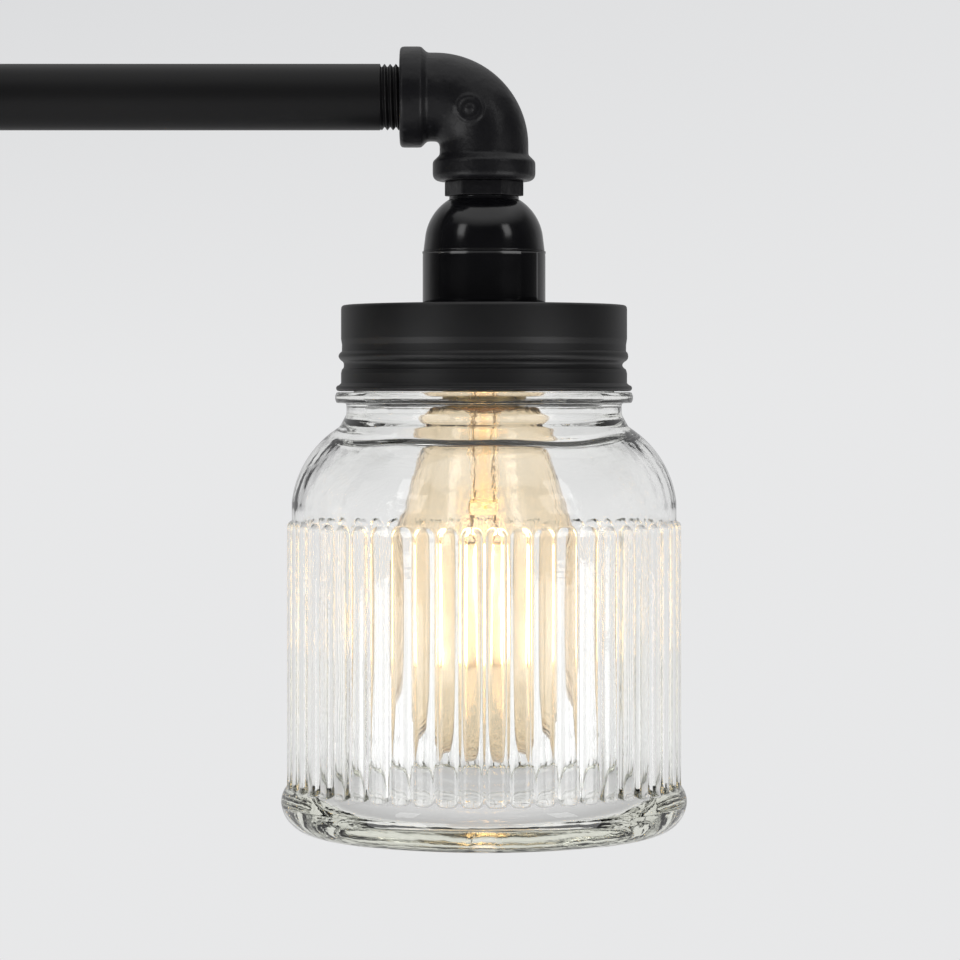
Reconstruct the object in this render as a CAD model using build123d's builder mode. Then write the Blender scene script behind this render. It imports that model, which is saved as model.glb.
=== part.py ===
from build123d import *
import os
from math import pi, sqrt

os.makedirs("parts", exist_ok=True)

# Ceiling bar light: a round rose on the ceiling, a drop pipe, a tee, and one arm each way
# that ends in an elbow, a lamp holder, a screw lid and a ribbed glass jar round a bulb.
# The origin is the centre of the bracket's ceiling face, Z points up into the ceiling and
# X runs along the bar. The left half is the right half turned half round about Z.

# Whole fitting
bar_drop = 165.0
lamp_spacing = 560.0

# Clearances: faces that touch, fixed fits, loose fits, and pieces that turn past each other
seat_gap = 0.05
fit_gap = 0.1
slip_gap = 0.35
run_gap = 0.3

# Half-inch pipe and its thread
pipe_radius = 10.65
pipe_bore = 7.9
thread_pitch = 1.814
thread_depth = 0.95
thread_shown = 6.4
thread_held = 12.0
thread_ridge_foot = 1.6
thread_ridge_tip = 0.5
thread_turns_hidden = 1.5

# Banded malleable fittings: elbow and tee
fitting_reach = 27.0
fitting_radius = 14.25
fitting_bend = 15.7
fitting_way = 8.5
fitting_mouth_depth = 13.0
tee_branch_step = 0.3
band_width = 8.7
outlet_band_width = 8.1
band_radius = 16.2
outlet_band_radius = 16.5
band_slope = 1.9
band_round = 1.2
outlet_band_round = 2.2
mark_radius = 4.4
mark_rim = 0.9
mark_pip = 1.1
mark_height = 0.45
mark_along = 4.6
mark_below = 4.6

# Rose, bracket and their fasteners
rose_radius = 60.0
rose_height = 30.0
rose_wall = 1.2
rose_round = 4.0
strap_width = 22.0
strap_thickness = 2.0
strap_slot_spacing = 76.0
strap_slot_length = 12.0
strap_slot_width = 5.0
tab_depth = 14.0
tab_screw_drop = 8.0
screw_radius = 1.9
screw_head_radius = 4.0
screw_head_height = 2.2
screw_head_taper = 12
screw_end_shown = 1.0
screw_slot_width = 0.9
screw_slot_depth = 1.0
earth_place = 16.0
mains_hole_place = 26.0
mains_hole_radius = 4.0
nut_flats = 28.0
nut_height = 6.0
collar_radius = 16.0
collar_height = 7.0
collar_round = 2.0
pipe_top_drop = 20.0

# Terminal block
block_length = 34.0
block_depth = 17.0
block_height = 11.0
block_place = 13.0
block_entry = 3.0
block_round = 1.5
clamp_screw_radius = 2.0
clamp_screw_pitch = 10.0
clamp_screw_height = 2.0
clamp_screw_inset = 0.4
clamp_hole_depth = 2.5
clamp_slot_width = 0.6
clamp_slot_depth = 0.7

# Lamp leads
lead_radius = 2.5
lead_offset = 3.5
lead_top_drop = 8.0
lead_top_bend = 11.0
lead_tee_bend = 15.0
lead_elbow_bend = 22.0
lead_end_drop = 2.5
core_radius = 0.8
core_offset = 1.2
core_bend = 1.4
core_straight = 1.8
core_arch = 0.6
core_dip = 2.0

# Hexagon bushing under the elbow
hex_flats = 22.0
hex_height = 4.8
hex_turn = -4.0
spigot_length = 10.0
stub_radius = 4.95
stub_length = 9.0
bushing_bore = 3.5

# Lamp holder: domed cap, skirt, insert and contacts
neck_radius = 11.2
neck_height = 1.0
dome_height = 17.7
dome_mid_radius = 16.15
dome_mid_drop = 5.7
dome_low_radius = 18.85
dome_low_drop = 12.7
dome_radius = 19.45
dome_wall = 1.8
dome_top_wall = 8.0
skirt_radius = 19.7
skirt_shown = 16.6
skirt_thread_radius = 18.8
skirt_length = 42.0
skirt_bore = 15.0
skirt_wide_bore = 15.7
skirt_shelf_drop = 10.5
skirt_spigot = 3.5
seam_lip = 0.1
seam_lip_height = 0.6
seam_lip_slope = 0.3
rib_start_turn = -57.0
rib_sweep = 26.0
rib_height = 0.25
rib_margin = 0.7
insert_thickness = 6.0
insert_length = 12.0
terminal_spread = 6.5
terminal_offset = 3.0
terminal_screw_radius = 1.8
terminal_screw_height = 2.2
terminal_well_width = 5.0
terminal_well_length = 10.5
terminal_well_depth = 3.0
contact_width = 5.0
contact_thickness = 0.5
contact_half = 3.6
contact_bend = 2.9
contact_tip_start = 1.8
contact_tip_end = 2.5
contact_tip_gap = 0.3
shell_inner = 13.8
shell_wall = 0.8
shell_length = 24.0
shell_turns = 4.0
shell_ridge_gap = 0.4

# Ring nut that clamps the lid to the holder
ring_flange_radius = 28.0
ring_flange = 2.4
ring_collar_radius = 22.0
ring_height = 11.0
ring_notches = 18
ring_notch_radius = 1.2
ring_notch_reach = 0.4

# Pressed lid
lid_radius = 45.85
lid_height = 27.6
lid_wall = 0.8
lid_round = 1.3
step_radius = 23.0
step_height = 0.7
step_slope = 1.0
step_pressing = 0.3
lid_waist = 0.3
lid_waist_start = 5.5
lid_waist_top = 3.6
lid_waist_end = 1.5
lid_bead = 0.5
lid_bead_drop = 16.3
lid_bead_half = 1.6
lid_groove = 1.1
lid_groove_drop = 19.2
lid_groove_half = 1.4
lid_groove_end = 2.4
lid_hem_reach = 1.6
lid_hem_height = 2.0
lid_hem_rise = 0.4
lid_thread_band = 0.9
lid_thread_slope = 1.0
lid_thread_top_drop = 11.0

# Jar thread, shared by lid and jar
jar_pitch = 6.35
jar_thread_turns = 1.6
jar_thread_start = 2.2
ridge_height = 1.9
ridge_foot = 2.0
ridge_tip = 1.1

# Jar
seal_thickness = 1.8
seal_inset = 0.3
jar_thread_clearance = 0.5
jar_mouth_wall = 3.2
jar_rim_bevel = 1.5
jar_bead_reach = 0.3
jar_bead_height = 3.4
jar_bead_swell = 0.5
jar_neck_reach = 2.35
jar_neck_height = 3.6
jar_neck_bevel = 0.3
jar_bore_end_drop = 16.6
jar_ledge_radius = 42.6
jar_ledge_drop = 17.8
jar_radius = 61.6
jar_wall = 3.1
shoulder_start_reach = 2.2
shoulder_start_drop = 11.4
shoulder_mid_radius = 56.2
shoulder_mid_drop = 20.8
shoulder_mid_wall = 2.6
shoulder_end_drop = 35.4
# How much lower the inside of the shoulder runs than the outside, at its middle and end
shoulder_lag = (4.2, 2.6)
rib_count = 52
rib_proud = 1.5
rib_share = 0.88
rib_top_drop = 41.3
foot_radius = 65.0
foot_rise = 9.4
foot_curve = 7.8
foot_mid_radius = 62.2
foot_mid_rise = 3.2
foot_flat_radius = 54.0
push_up_radius = 42.0
push_up_height = 1.2
push_up_slope = 4.0
floor_thickness = 7.5
floor_corner = 9.0
bulb_floor_gap = 14.4

# Bulb: a long pear-shaped filament lamp with a standard 27 mm screw cap
bulb_pitch = 3.63
bulb_length = 142.3
bulb_radius = 32.0
bulb_wall = 0.8
bulb_glass_drop = 3.1
# The glass's outer line: how far down its length, and which share of its radius
bulb_form = [
    (0.012, 0.541),
    (0.082, 0.638),
    (0.237, 0.788),
    (0.432, 0.944),
    (0.587, 1.0),
    (0.786, 0.903),
    (0.94, 0.547),
]
cap_core_radius = 12.1
cap_crest_reach = 1.0
cap_ridge_foot = 1.7
cap_ridge_tip = 0.9
cap_turns = 3.5
cap_ridge_rise = 0.8
cap_skirt_reach = 1.5
cap_skirt_height = 4.0
cap_skirt_slope = 1.2
cap_skirt_taper = 0.3
cap_height = 26.5
cap_wall = 0.5
cap_cone_height = 3.6
cap_cone_wall = 0.8
cap_tip_radius = 4.8
cap_tip_height = 1.4
cap_tip_round = 1.0
bulb_neck_gap = 0.35
bulb_neck_depth = 3.0
bulb_neck_flare = 1.2
stem_radius = 4.7
stem_length = 38.0
stem_collar = 1.5
stem_cone = 8.0
stem_pinch_height = 4.0
stem_pinch = 0.5
lead_wire_radius = 0.35
lead_wire_top = 3.6
lead_wire_low = 4.4
lead_wire_bend = 6.0
lead_wire_straight = 2.5
lead_wire_turn = 3.5
filament_radius = 1.0
filament_length = 38.0
filament_ring_top = 5.5
filament_ring_low = 9.5
filament_drop = 46.0

# Places worked out from the sizes above
lamp_x = lamp_spacing / 2
bar_z = -bar_drop
elbow_face = bar_z - fitting_reach
hex_bottom = elbow_face - hex_height
seam = hex_bottom - dome_height
step_top = seam - skirt_shown
lid_top = step_top - step_height
lid_under = lid_top - lid_wall
lid_bottom = lid_top - lid_height
lid_hole_radius = skirt_thread_radius + run_gap
lid_inner = lid_radius - lid_wall
lid_thread_inner = lid_inner - lid_thread_band
lid_hem_radius = lid_radius + lid_hem_reach
jar_mouth_radius = lid_thread_inner - ridge_height - jar_thread_clearance
jar_bore = jar_mouth_radius - jar_mouth_wall
jar_bead_radius = lid_hem_radius + jar_bead_reach
jar_neck_radius = jar_mouth_radius + jar_neck_reach
shoulder_start_radius = jar_neck_radius + shoulder_start_reach
seal_outer = jar_mouth_radius - seal_inset
seal_inner = jar_bore + seal_inset
cap_crest_radius = cap_core_radius + cap_crest_reach
cap_skirt_radius = cap_core_radius + cap_skirt_reach
seal_top = lid_under - run_gap
jar_rim = seal_top - seal_thickness - run_gap
jar_bead_top = lid_bottom - run_gap
cap_bottom = lid_bottom - bulb_glass_drop
glass_length = bulb_length - cap_height
bulb_bottom = cap_bottom - glass_length
floor_top = bulb_bottom - bulb_floor_gap
jar_bottom = floor_top - floor_thickness
mouth_radius = pipe_radius + fit_gap
spigot_radius = pipe_radius - slip_gap + fit_gap
thread_root = pipe_radius - thread_depth
thread_crest = pipe_radius - fit_gap / 2

lamp_section = Plane((lamp_x, 0, 0), x_dir=(1, 0, 0), z_dir=(0, -1, 0))
lamp_axis = Axis((lamp_x, 0, 0), (0, 0, 1))


def level(z, x=lamp_x):
    """A horizontal plane at height z, centred on x."""
    return Plane((x, 0, z), x_dir=(1, 0, 0), z_dir=(0, 0, 1))


def screw_ridge(plane, pitch, length, foot_radius, tip_radius, foot, tip):
    """A right-handed screw ridge that climbs along the plane's normal from its origin."""
    mean = (foot_radius + tip_radius) / 2
    reach = tip_radius - mean
    with BuildPart() as ridge:
        with BuildLine() as course:
            Helix(pitch, length, mean)
        start = Plane(origin=course.line @ 0, x_dir=(1, 0, 0), z_dir=course.line % 0)
        with BuildSketch(start):
            with BuildLine():
                Polyline(
                    (-reach, -foot / 2),
                    (reach, -tip / 2),
                    (reach, tip / 2),
                    (-reach, foot / 2),
                    close=True,
                )
            make_face()
        sweep(path=course.line, is_frenet=True)
    return plane.location * ridge.part


def band(plane, radius, width, edge_round):
    """The thickened band round a fitting's mouth: the face is the plane, the body lies below."""
    with BuildPart() as ring:
        with BuildSketch(plane):
            Circle(radius)
        extrude(amount=-width)
        outer = ring.edges().filter_by(GeomType.CIRCLE)
        fillet(outer.sort_by(lambda e: (e.center() - plane.origin).length)[0], edge_round)
        outer = ring.edges().filter_by(GeomType.CIRCLE)
        inner = outer.sort_by(lambda e: (e.center() - plane.origin).length)[-1]
        chamfer(inner, band_slope)
    return ring.part


def bend(radius):
    """A quarter of a ring of round section, from the arm's line to the lamp's line."""
    corner = (lamp_x - fitting_bend, 0, bar_z - fitting_bend)
    with BuildPart() as quarter:
        with BuildSketch(Plane((corner[0], 0, bar_z), x_dir=(0, 1, 0), z_dir=(1, 0, 0))):
            Circle(radius)
            with Locations((0, -fitting_bend - radius)):
                Rectangle(4 * radius, 2 * radius, mode=Mode.SUBTRACT)
        revolve(axis=Axis(corner, (0, 1, 0)), revolution_arc=90)
    return quarter.part


def export_pair(piece, name):
    """Write a piece for the right lamp and, turned half round, for the left lamp."""
    for end, turn in (("right", 0), ("left", 180)):
        placed = piece.moved(Location((0, 0, 0), (0, 0, turn)))
        placed.label = f"{name}_{end}"
        export_step(placed, f"parts/{name}_{end}.step")


# Ceiling bracket: a steel strap with two slots, and a tapped tab at each end
tab_reach = sqrt((rose_radius - rose_wall) ** 2 - (strap_width / 2) ** 2) - run_gap
with BuildPart() as ceiling_bracket:
    with BuildSketch():
        Rectangle(strap_width, 2 * tab_reach)
        with Locations((0, strap_slot_spacing / 2), (0, -strap_slot_spacing / 2)):
            SlotOverall(strap_slot_length, strap_slot_width, rotation=90, mode=Mode.SUBTRACT)
        with Locations((0, -earth_place)):
            Circle(screw_radius + fit_gap, mode=Mode.SUBTRACT)
        with Locations((0, -mains_hole_place)):
            Circle(mains_hole_radius, mode=Mode.SUBTRACT)
    extrude(amount=-strap_thickness)
    for side in (1, -1):
        with Locations((0, side * (tab_reach - strap_thickness / 2), -tab_depth / 2)):
            Box(strap_width, strap_thickness, tab_depth)
    with Locations(Location((0, 0, -tab_screw_drop), (90, 0, 0))):
        Cylinder(screw_radius + fit_gap, 3 * rose_radius, mode=Mode.SUBTRACT)
ceiling_bracket.part.label = "ceiling_bracket"
export_step(ceiling_bracket.part, "parts/ceiling_bracket.step")

# Rose: a spun dish that covers the bracket and the terminal block
with BuildPart() as rose:
    with BuildSketch(Plane.XY.offset(-rose_height)):
        Circle(rose_radius)
    extrude(amount=rose_height)
    fillet(rose.edges().filter_by(GeomType.CIRCLE).sort_by(Axis.Z)[0], rose_round)
    offset(amount=-rose_wall, openings=rose.faces().sort_by(Axis.Z)[-1])
    with BuildSketch(Plane.XY.offset(-rose_height)):
        Circle(mouth_radius)
    extrude(amount=2 * rose_wall, mode=Mode.SUBTRACT)
    with Locations(Location((0, 0, -tab_screw_drop), (90, 0, 0))):
        Cylinder(screw_radius + slip_gap, 3 * rose_radius, mode=Mode.SUBTRACT)
rose.part.label = "ceiling_rose"
export_step(rose.part, "parts/ceiling_rose.step")

# Rose screws: one through each side of the rose into a tab
with BuildPart() as rose_screws:
    for side in (1, -1):
        face = Plane(
            (0, side * (rose_radius + fit_gap), -tab_screw_drop),
            x_dir=(1, 0, 0),
            z_dir=(0, side, 0),
        )
        with BuildSketch(face):
            Circle(screw_head_radius)
        extrude(amount=screw_head_height, taper=screw_head_taper)
        with BuildSketch(face):
            Circle(screw_radius)
        shank = rose_radius + fit_gap - tab_reach + strap_thickness + screw_end_shown
        extrude(amount=-shank)
        with BuildSketch(face.offset(screw_head_height)):
            Rectangle(2 * screw_head_radius, screw_slot_width)
        extrude(amount=-screw_slot_depth, mode=Mode.SUBTRACT)
rose_screws.part.label = "rose_screws"
export_step(rose_screws.part, "parts/rose_screws.step")

# Earth screw under the strap
with BuildPart() as earth_screw:
    with BuildSketch(Plane((0, -earth_place, -strap_thickness - seat_gap))):
        Circle(screw_head_radius)
    extrude(amount=-screw_head_height)
    with BuildSketch(Plane((0, -earth_place, -strap_thickness - seat_gap))):
        Circle(screw_radius)
    extrude(amount=strap_thickness - fit_gap)
    with BuildSketch(Plane((0, -earth_place, -strap_thickness - screw_head_height - seat_gap))):
        Rectangle(1.75 * screw_head_radius, screw_slot_width)
        Rectangle(screw_slot_width, 1.75 * screw_head_radius)
    extrude(amount=screw_slot_depth, mode=Mode.SUBTRACT)
earth_screw.part.label = "earth_screw"
export_step(earth_screw.part, "parts/earth_screw.step")

# Terminal block under the strap, with an entry for each lamp lead
block_top = -strap_thickness - seat_gap
block_middle = block_place + block_depth / 2
with BuildPart() as terminal_block:
    with Locations((0, block_middle, block_top - block_height / 2)):
        Box(block_length, block_depth, block_height)
    fillet(terminal_block.edges().filter_by(Axis.Z), block_round)
    entry_face = Plane((0, block_place, -lead_top_drop), x_dir=(1, 0, 0), z_dir=(0, -1, 0))
    with BuildSketch(entry_face):
        with Locations((lead_offset, 0), (-lead_offset, 0)):
            Circle(lead_radius + fit_gap)
    extrude(amount=-block_entry, mode=Mode.SUBTRACT)
    with BuildSketch(Plane((0, block_middle, block_top - block_height))):
        with GridLocations(clamp_screw_pitch, 1, 3, 1):
            Circle(clamp_screw_radius + fit_gap)
    extrude(amount=clamp_hole_depth, mode=Mode.SUBTRACT)
terminal_block.part.label = "terminal_block"
export_step(terminal_block.part, "parts/terminal_block.step")

# Clamp screws in the terminal block
clamp_face = Plane((0, block_middle, block_top - block_height + clamp_screw_inset))
with BuildPart() as clamp_screws:
    with BuildSketch(clamp_face):
        with GridLocations(clamp_screw_pitch, 1, 3, 1):
            Circle(clamp_screw_radius)
    extrude(amount=clamp_screw_height)
    with BuildSketch(clamp_face):
        with GridLocations(clamp_screw_pitch, 1, 3, 1):
            Rectangle(clamp_slot_width, 2 * clamp_screw_radius)
    extrude(amount=clamp_slot_depth, mode=Mode.SUBTRACT)
clamp_screws.part.label = "clamp_screws"
export_step(clamp_screws.part, "parts/clamp_screws.step")

# Drop pipe: held in the rose by two nuts, and screwed into the tee
drop_bottom = bar_z + fitting_reach - thread_held
drop_plain_bottom = bar_z + fitting_reach + thread_shown
drop_plain_top = -rose_height - collar_height - thread_shown
with BuildPart() as drop_pipe:
    with BuildSketch(level(drop_plain_bottom, 0)):
        Circle(pipe_radius)
    extrude(amount=drop_plain_top - drop_plain_bottom)
    with BuildSketch(level(bar_z + fitting_reach, 0)):
        Circle(thread_root)
    extrude(amount=thread_shown)
    with BuildSketch(level(drop_bottom, 0)):
        Circle(spigot_radius)
    extrude(amount=thread_held)
    with BuildSketch(level(drop_plain_top, 0)):
        Circle(spigot_radius)
    extrude(amount=-pipe_top_drop - drop_plain_top)
    add(
        screw_ridge(
            level(bar_z + fitting_reach - thread_pitch, 0),
            thread_pitch,
            thread_shown + thread_turns_hidden * thread_pitch,
            thread_root - fit_gap,
            thread_crest,
            thread_ridge_foot,
            thread_ridge_tip,
        )
    )
    with BuildSketch(level(drop_bottom, 0)):
        Circle(pipe_bore)
    extrude(amount=-drop_bottom, mode=Mode.SUBTRACT)
drop_pipe.part.label = "drop_pipe"
export_step(drop_pipe.part, "parts/drop_pipe.step")

# Lock nut inside the rose
with BuildPart() as rose_nut:
    with BuildSketch(level(-rose_height + rose_wall + seat_gap, 0)):
        RegularPolygon(nut_flats / 2, 6, major_radius=False)
        Circle(spigot_radius + fit_gap, mode=Mode.SUBTRACT)
    extrude(amount=nut_height)
rose_nut.part.label = "rose_nut"
export_step(rose_nut.part, "parts/rose_nut.step")

# Round collar nut under the rose
with BuildPart() as rose_collar:
    with BuildSketch(level(-rose_height - seat_gap, 0)):
        Circle(collar_radius)
    extrude(amount=-collar_height)
    fillet(rose_collar.edges().filter_by(GeomType.CIRCLE).sort_by(Axis.Z)[0], collar_round)
    with BuildSketch(level(-rose_height - seat_gap, 0)):
        Circle(spigot_radius + fit_gap)
    extrude(amount=-collar_height, mode=Mode.SUBTRACT)
rose_collar.part.label = "rose_collar"
export_step(rose_collar.part, "parts/rose_collar.step")

# Tee: two arms and the drop pipe meet here
tee_mouths = [
    Plane((fitting_reach, 0, bar_z), x_dir=(0, 1, 0), z_dir=(1, 0, 0)),
    Plane((-fitting_reach, 0, bar_z), x_dir=(0, 1, 0), z_dir=(-1, 0, 0)),
    level(bar_z + fitting_reach, 0),
]
with BuildPart() as tee:
    with BuildSketch(tee_mouths[0]):
        Circle(fitting_radius)
    extrude(amount=-2 * fitting_reach)
    with BuildSketch(tee_mouths[2]):
        Circle(fitting_radius - tee_branch_step)
    extrude(amount=-fitting_reach)
    for mouth in tee_mouths:
        add(band(mouth, band_radius, band_width, band_round))
    with BuildSketch(tee_mouths[0]):
        Circle(fitting_way)
    extrude(amount=-2 * fitting_reach, mode=Mode.SUBTRACT)
    with BuildSketch(tee_mouths[2]):
        Circle(fitting_way - tee_branch_step)
    extrude(amount=-fitting_reach, mode=Mode.SUBTRACT)
    for mouth in tee_mouths:
        with BuildSketch(mouth):
            Circle(mouth_radius)
        extrude(amount=-fitting_mouth_depth, mode=Mode.SUBTRACT)
tee.part.label = "tee"
export_step(tee.part, "parts/tee.step")

# Arm pipe: from the tee to the elbow, with thread left showing at both fittings
arm_start = fitting_reach - thread_held
arm_end = lamp_x - fitting_reach + thread_held
arm_plain_start = fitting_reach + thread_shown
arm_plain_end = lamp_x - fitting_reach - thread_shown


def across(x):
    """A plane square to the arm at x, with its normal along the arm."""
    return Plane((x, 0, bar_z), x_dir=(0, 1, 0), z_dir=(1, 0, 0))


with BuildPart() as arm_pipe:
    with BuildSketch(across(arm_plain_start)):
        Circle(pipe_radius)
    extrude(amount=arm_plain_end - arm_plain_start)
    for face in (fitting_reach, arm_plain_end):
        with BuildSketch(across(face)):
            Circle(thread_root)
        extrude(amount=thread_shown)
    for start in (arm_start, arm_end - thread_held):
        with BuildSketch(across(start)):
            Circle(spigot_radius)
        extrude(amount=thread_held)
    for face in (fitting_reach - thread_pitch, arm_plain_end - thread_pitch / 2):
        add(
            screw_ridge(
                across(face),
                thread_pitch,
                thread_shown + thread_turns_hidden * thread_pitch,
                thread_root - fit_gap,
                thread_crest,
                thread_ridge_foot,
                thread_ridge_tip,
            )
        )
    with BuildSketch(across(arm_start)):
        Circle(pipe_bore)
    extrude(amount=arm_end - arm_start, mode=Mode.SUBTRACT)
export_pair(arm_pipe.part, "arm_pipe")

# Elbow: turns the arm down to the lamp
arm_mouth = Plane((lamp_x - fitting_reach, 0, bar_z), x_dir=(0, 1, 0), z_dir=(-1, 0, 0))
lamp_mouth = Plane((lamp_x, 0, elbow_face), x_dir=(1, 0, 0), z_dir=(0, 0, -1))
elbow_leg = fitting_reach - fitting_bend

# Raised foundry ring and pip on the elbow's front, following its round side
with BuildPart() as foundry_mark:
    add(bend(fitting_radius + mark_height))
    mark_plane = Plane(
        (lamp_x - mark_along, 0, bar_z - mark_below), x_dir=(1, 0, 0), z_dir=(0, -1, 0)
    )
    with BuildSketch(mark_plane):
        Circle(mark_radius)
        Circle(mark_radius - mark_rim, mode=Mode.SUBTRACT)
        Circle(mark_pip)
    extrude(amount=2 * fitting_radius, mode=Mode.INTERSECT)

with BuildPart() as elbow:
    add(bend(fitting_radius))
    for mouth in (arm_mouth, lamp_mouth):
        with BuildSketch(mouth):
            Circle(fitting_radius)
        extrude(amount=-elbow_leg)
    add(foundry_mark.part)
    add(band(arm_mouth, band_radius, band_width, band_round))
    add(band(lamp_mouth, outlet_band_radius, outlet_band_width, outlet_band_round))
    for mouth in (arm_mouth, lamp_mouth):
        with BuildSketch(mouth):
            Circle(fitting_way)
        extrude(amount=-elbow_leg, mode=Mode.SUBTRACT)
        with BuildSketch(mouth):
            Circle(mouth_radius)
        extrude(amount=-fitting_mouth_depth, mode=Mode.SUBTRACT)
    add(bend(fitting_way), mode=Mode.SUBTRACT)
export_pair(elbow.part, "elbow")

# Hexagon bushing: pipe spigot above, narrow stub below for the lamp holder
with BuildPart() as hex_bushing:
    with BuildSketch(level(elbow_face - seat_gap)):
        RegularPolygon(hex_flats / 2, 6, major_radius=False, rotation=hex_turn)
    extrude(amount=-hex_height + seat_gap)
    with BuildSketch(level(elbow_face - seat_gap)):
        Circle(spigot_radius)
    extrude(amount=spigot_length)
    with BuildSketch(level(hex_bottom)):
        Circle(stub_radius)
    extrude(amount=-stub_length)
    with BuildSketch(level(hex_bottom - stub_length)):
        Circle(bushing_bore)
    extrude(amount=stub_length + hex_height + spigot_length, mode=Mode.SUBTRACT)
export_pair(hex_bushing.part, "hex_bushing")

# Holder cap: the domed upper half, screwed on the bushing's stub
dome_bottom = seam + seat_gap
with BuildPart() as holder_cap:
    with BuildSketch(lamp_section):
        with BuildLine():
            l1 = Line((stub_radius + fit_gap, hex_bottom - seat_gap), (neck_radius, hex_bottom - seat_gap))
            l2 = Line(l1 @ 1, (neck_radius, hex_bottom - neck_height))
            l3 = ThreePointArc(
                l2 @ 1,
                (dome_mid_radius, hex_bottom - dome_mid_drop),
                (dome_low_radius, hex_bottom - dome_low_drop),
            )
            l4 = Line(l3 @ 1, (dome_radius, dome_bottom))
            l5 = Line(l4 @ 1, (dome_radius - dome_wall, dome_bottom))
            l6 = Line(l5 @ 1, (dome_low_radius - dome_wall, hex_bottom - dome_low_drop))
            l7 = Line(l6 @ 1, (neck_radius - dome_wall, hex_bottom - dome_top_wall))
            l8 = Line(l7 @ 1, (stub_radius + fit_gap, hex_bottom - dome_top_wall))
            Line(l8 @ 1, l1 @ 0)
        make_face()
    revolve(axis=lamp_axis)
export_pair(holder_cap.part, "holder_cap")

# Holder skirt: the lower half, with a shoulder on the lid and a threaded tube through it
skirt_bottom = seam - skirt_length
skirt_shelf = seam - skirt_shelf_drop
spigot_outer = dome_low_radius - dome_wall - 2 * fit_gap
with BuildPart() as holder_skirt:
    with BuildSketch(lamp_section):
        with BuildLine():
            Polyline(
                (skirt_wide_bore, seam + skirt_spigot),
                (spigot_outer, seam + skirt_spigot),
                (spigot_outer, seam),
                (skirt_radius + seam_lip, seam),
                (skirt_radius + seam_lip, seam - seam_lip_height),
                (skirt_radius, seam - seam_lip_height - seam_lip_slope),
                (skirt_radius, step_top + seat_gap),
                (skirt_thread_radius, step_top + seat_gap),
                (skirt_thread_radius, skirt_bottom),
                (skirt_bore, skirt_bottom),
                (skirt_bore, skirt_shelf),
                (skirt_wide_bore, skirt_shelf),
                close=True,
            )
        make_face()
    revolve(axis=lamp_axis)
    rib_plane = lamp_section.rotated((0, 0, rib_start_turn))
    with BuildSketch(rib_plane):
        with Locations((skirt_radius, (seam + step_top) / 2)):
            Rectangle(2 * rib_height, skirt_shown - 2 * rib_margin)
    revolve(axis=lamp_axis, revolution_arc=rib_sweep)
export_pair(holder_skirt.part, "holder_skirt")

# Insert: the ceramic carrier on the skirt's shelf, which holds the contacts
insert_top = skirt_shelf + insert_thickness
insert_bottom = insert_top - insert_length
with BuildPart() as holder_insert:
    with BuildSketch(level(skirt_shelf + seat_gap)):
        Circle(skirt_wide_bore - fit_gap)
    extrude(amount=insert_thickness - seat_gap)
    with BuildSketch(level(insert_bottom)):
        Circle(skirt_bore - slip_gap)
    extrude(amount=skirt_shelf + seat_gap - insert_bottom)
    with BuildSketch(level(insert_top)):
        with Locations((terminal_spread, 0), (-terminal_spread, 0)):
            Rectangle(terminal_well_width, terminal_well_length)
    extrude(amount=-terminal_well_depth, mode=Mode.SUBTRACT)
export_pair(holder_insert.part, "holder_insert")

# Terminal screws in the insert's two wells
terminal_places = [(terminal_spread, terminal_offset), (-terminal_spread, terminal_offset)]
with BuildPart() as terminal_screws:
    with BuildSketch(level(insert_top - terminal_well_depth + seat_gap)):
        with Locations(terminal_places):
            Circle(terminal_screw_radius)
    extrude(amount=terminal_screw_height)
    with BuildSketch(level(insert_top - terminal_well_depth + seat_gap + terminal_screw_height)):
        with Locations(terminal_places):
            Rectangle(2 * terminal_screw_radius, clamp_slot_width)
    extrude(amount=-clamp_slot_depth, mode=Mode.SUBTRACT)
export_pair(terminal_screws.part, "terminal_screws")

# Screw shell: the threaded brass tube that takes the bulb's cap
shell_top = insert_bottom - seat_gap
shell_bottom = shell_top - shell_length
bulb_ridge_start = cap_bottom + cap_skirt_height + cap_ridge_rise
shell_ridge_start = bulb_ridge_start + bulb_pitch / 2
with BuildPart() as socket_shell:
    with BuildSketch(level(shell_bottom)):
        Circle(shell_inner + shell_wall)
        Circle(shell_inner, mode=Mode.SUBTRACT)
    extrude(amount=shell_length)
    with BuildSketch(level(shell_top)):
        Circle(shell_inner + shell_wall)
        Circle(contact_width, mode=Mode.SUBTRACT)
    extrude(amount=-shell_wall)
    add(
        screw_ridge(
            level(shell_ridge_start),
            bulb_pitch,
            shell_turns * bulb_pitch,
            shell_inner + fit_gap,
            cap_core_radius + shell_ridge_gap,
            cap_ridge_foot,
            cap_ridge_tip,
        )
    )
export_pair(socket_shell.part, "socket_shell")

# Centre contact: a bent bronze leaf under the insert
tip_top = cap_bottom + cap_height
contact_low = tip_top + contact_tip_gap
contact_top = insert_bottom - seat_gap
with BuildPart() as centre_contact:
    with BuildSketch(lamp_section):
        with BuildLine() as leaf:
            Polyline(
                (-contact_half, contact_top),
                (contact_half, contact_top),
                (contact_half, contact_top - contact_thickness),
                (-contact_bend, contact_top - contact_thickness),
                (contact_tip_end, contact_low + contact_thickness),
                (contact_tip_end, contact_low),
                (contact_tip_start, contact_low),
                (-contact_half, contact_top - 2 * contact_thickness),
                close=True,
            )
        make_face()
    extrude(amount=contact_width / 2, both=True)
export_pair(centre_contact.part, "centre_contact")

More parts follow.
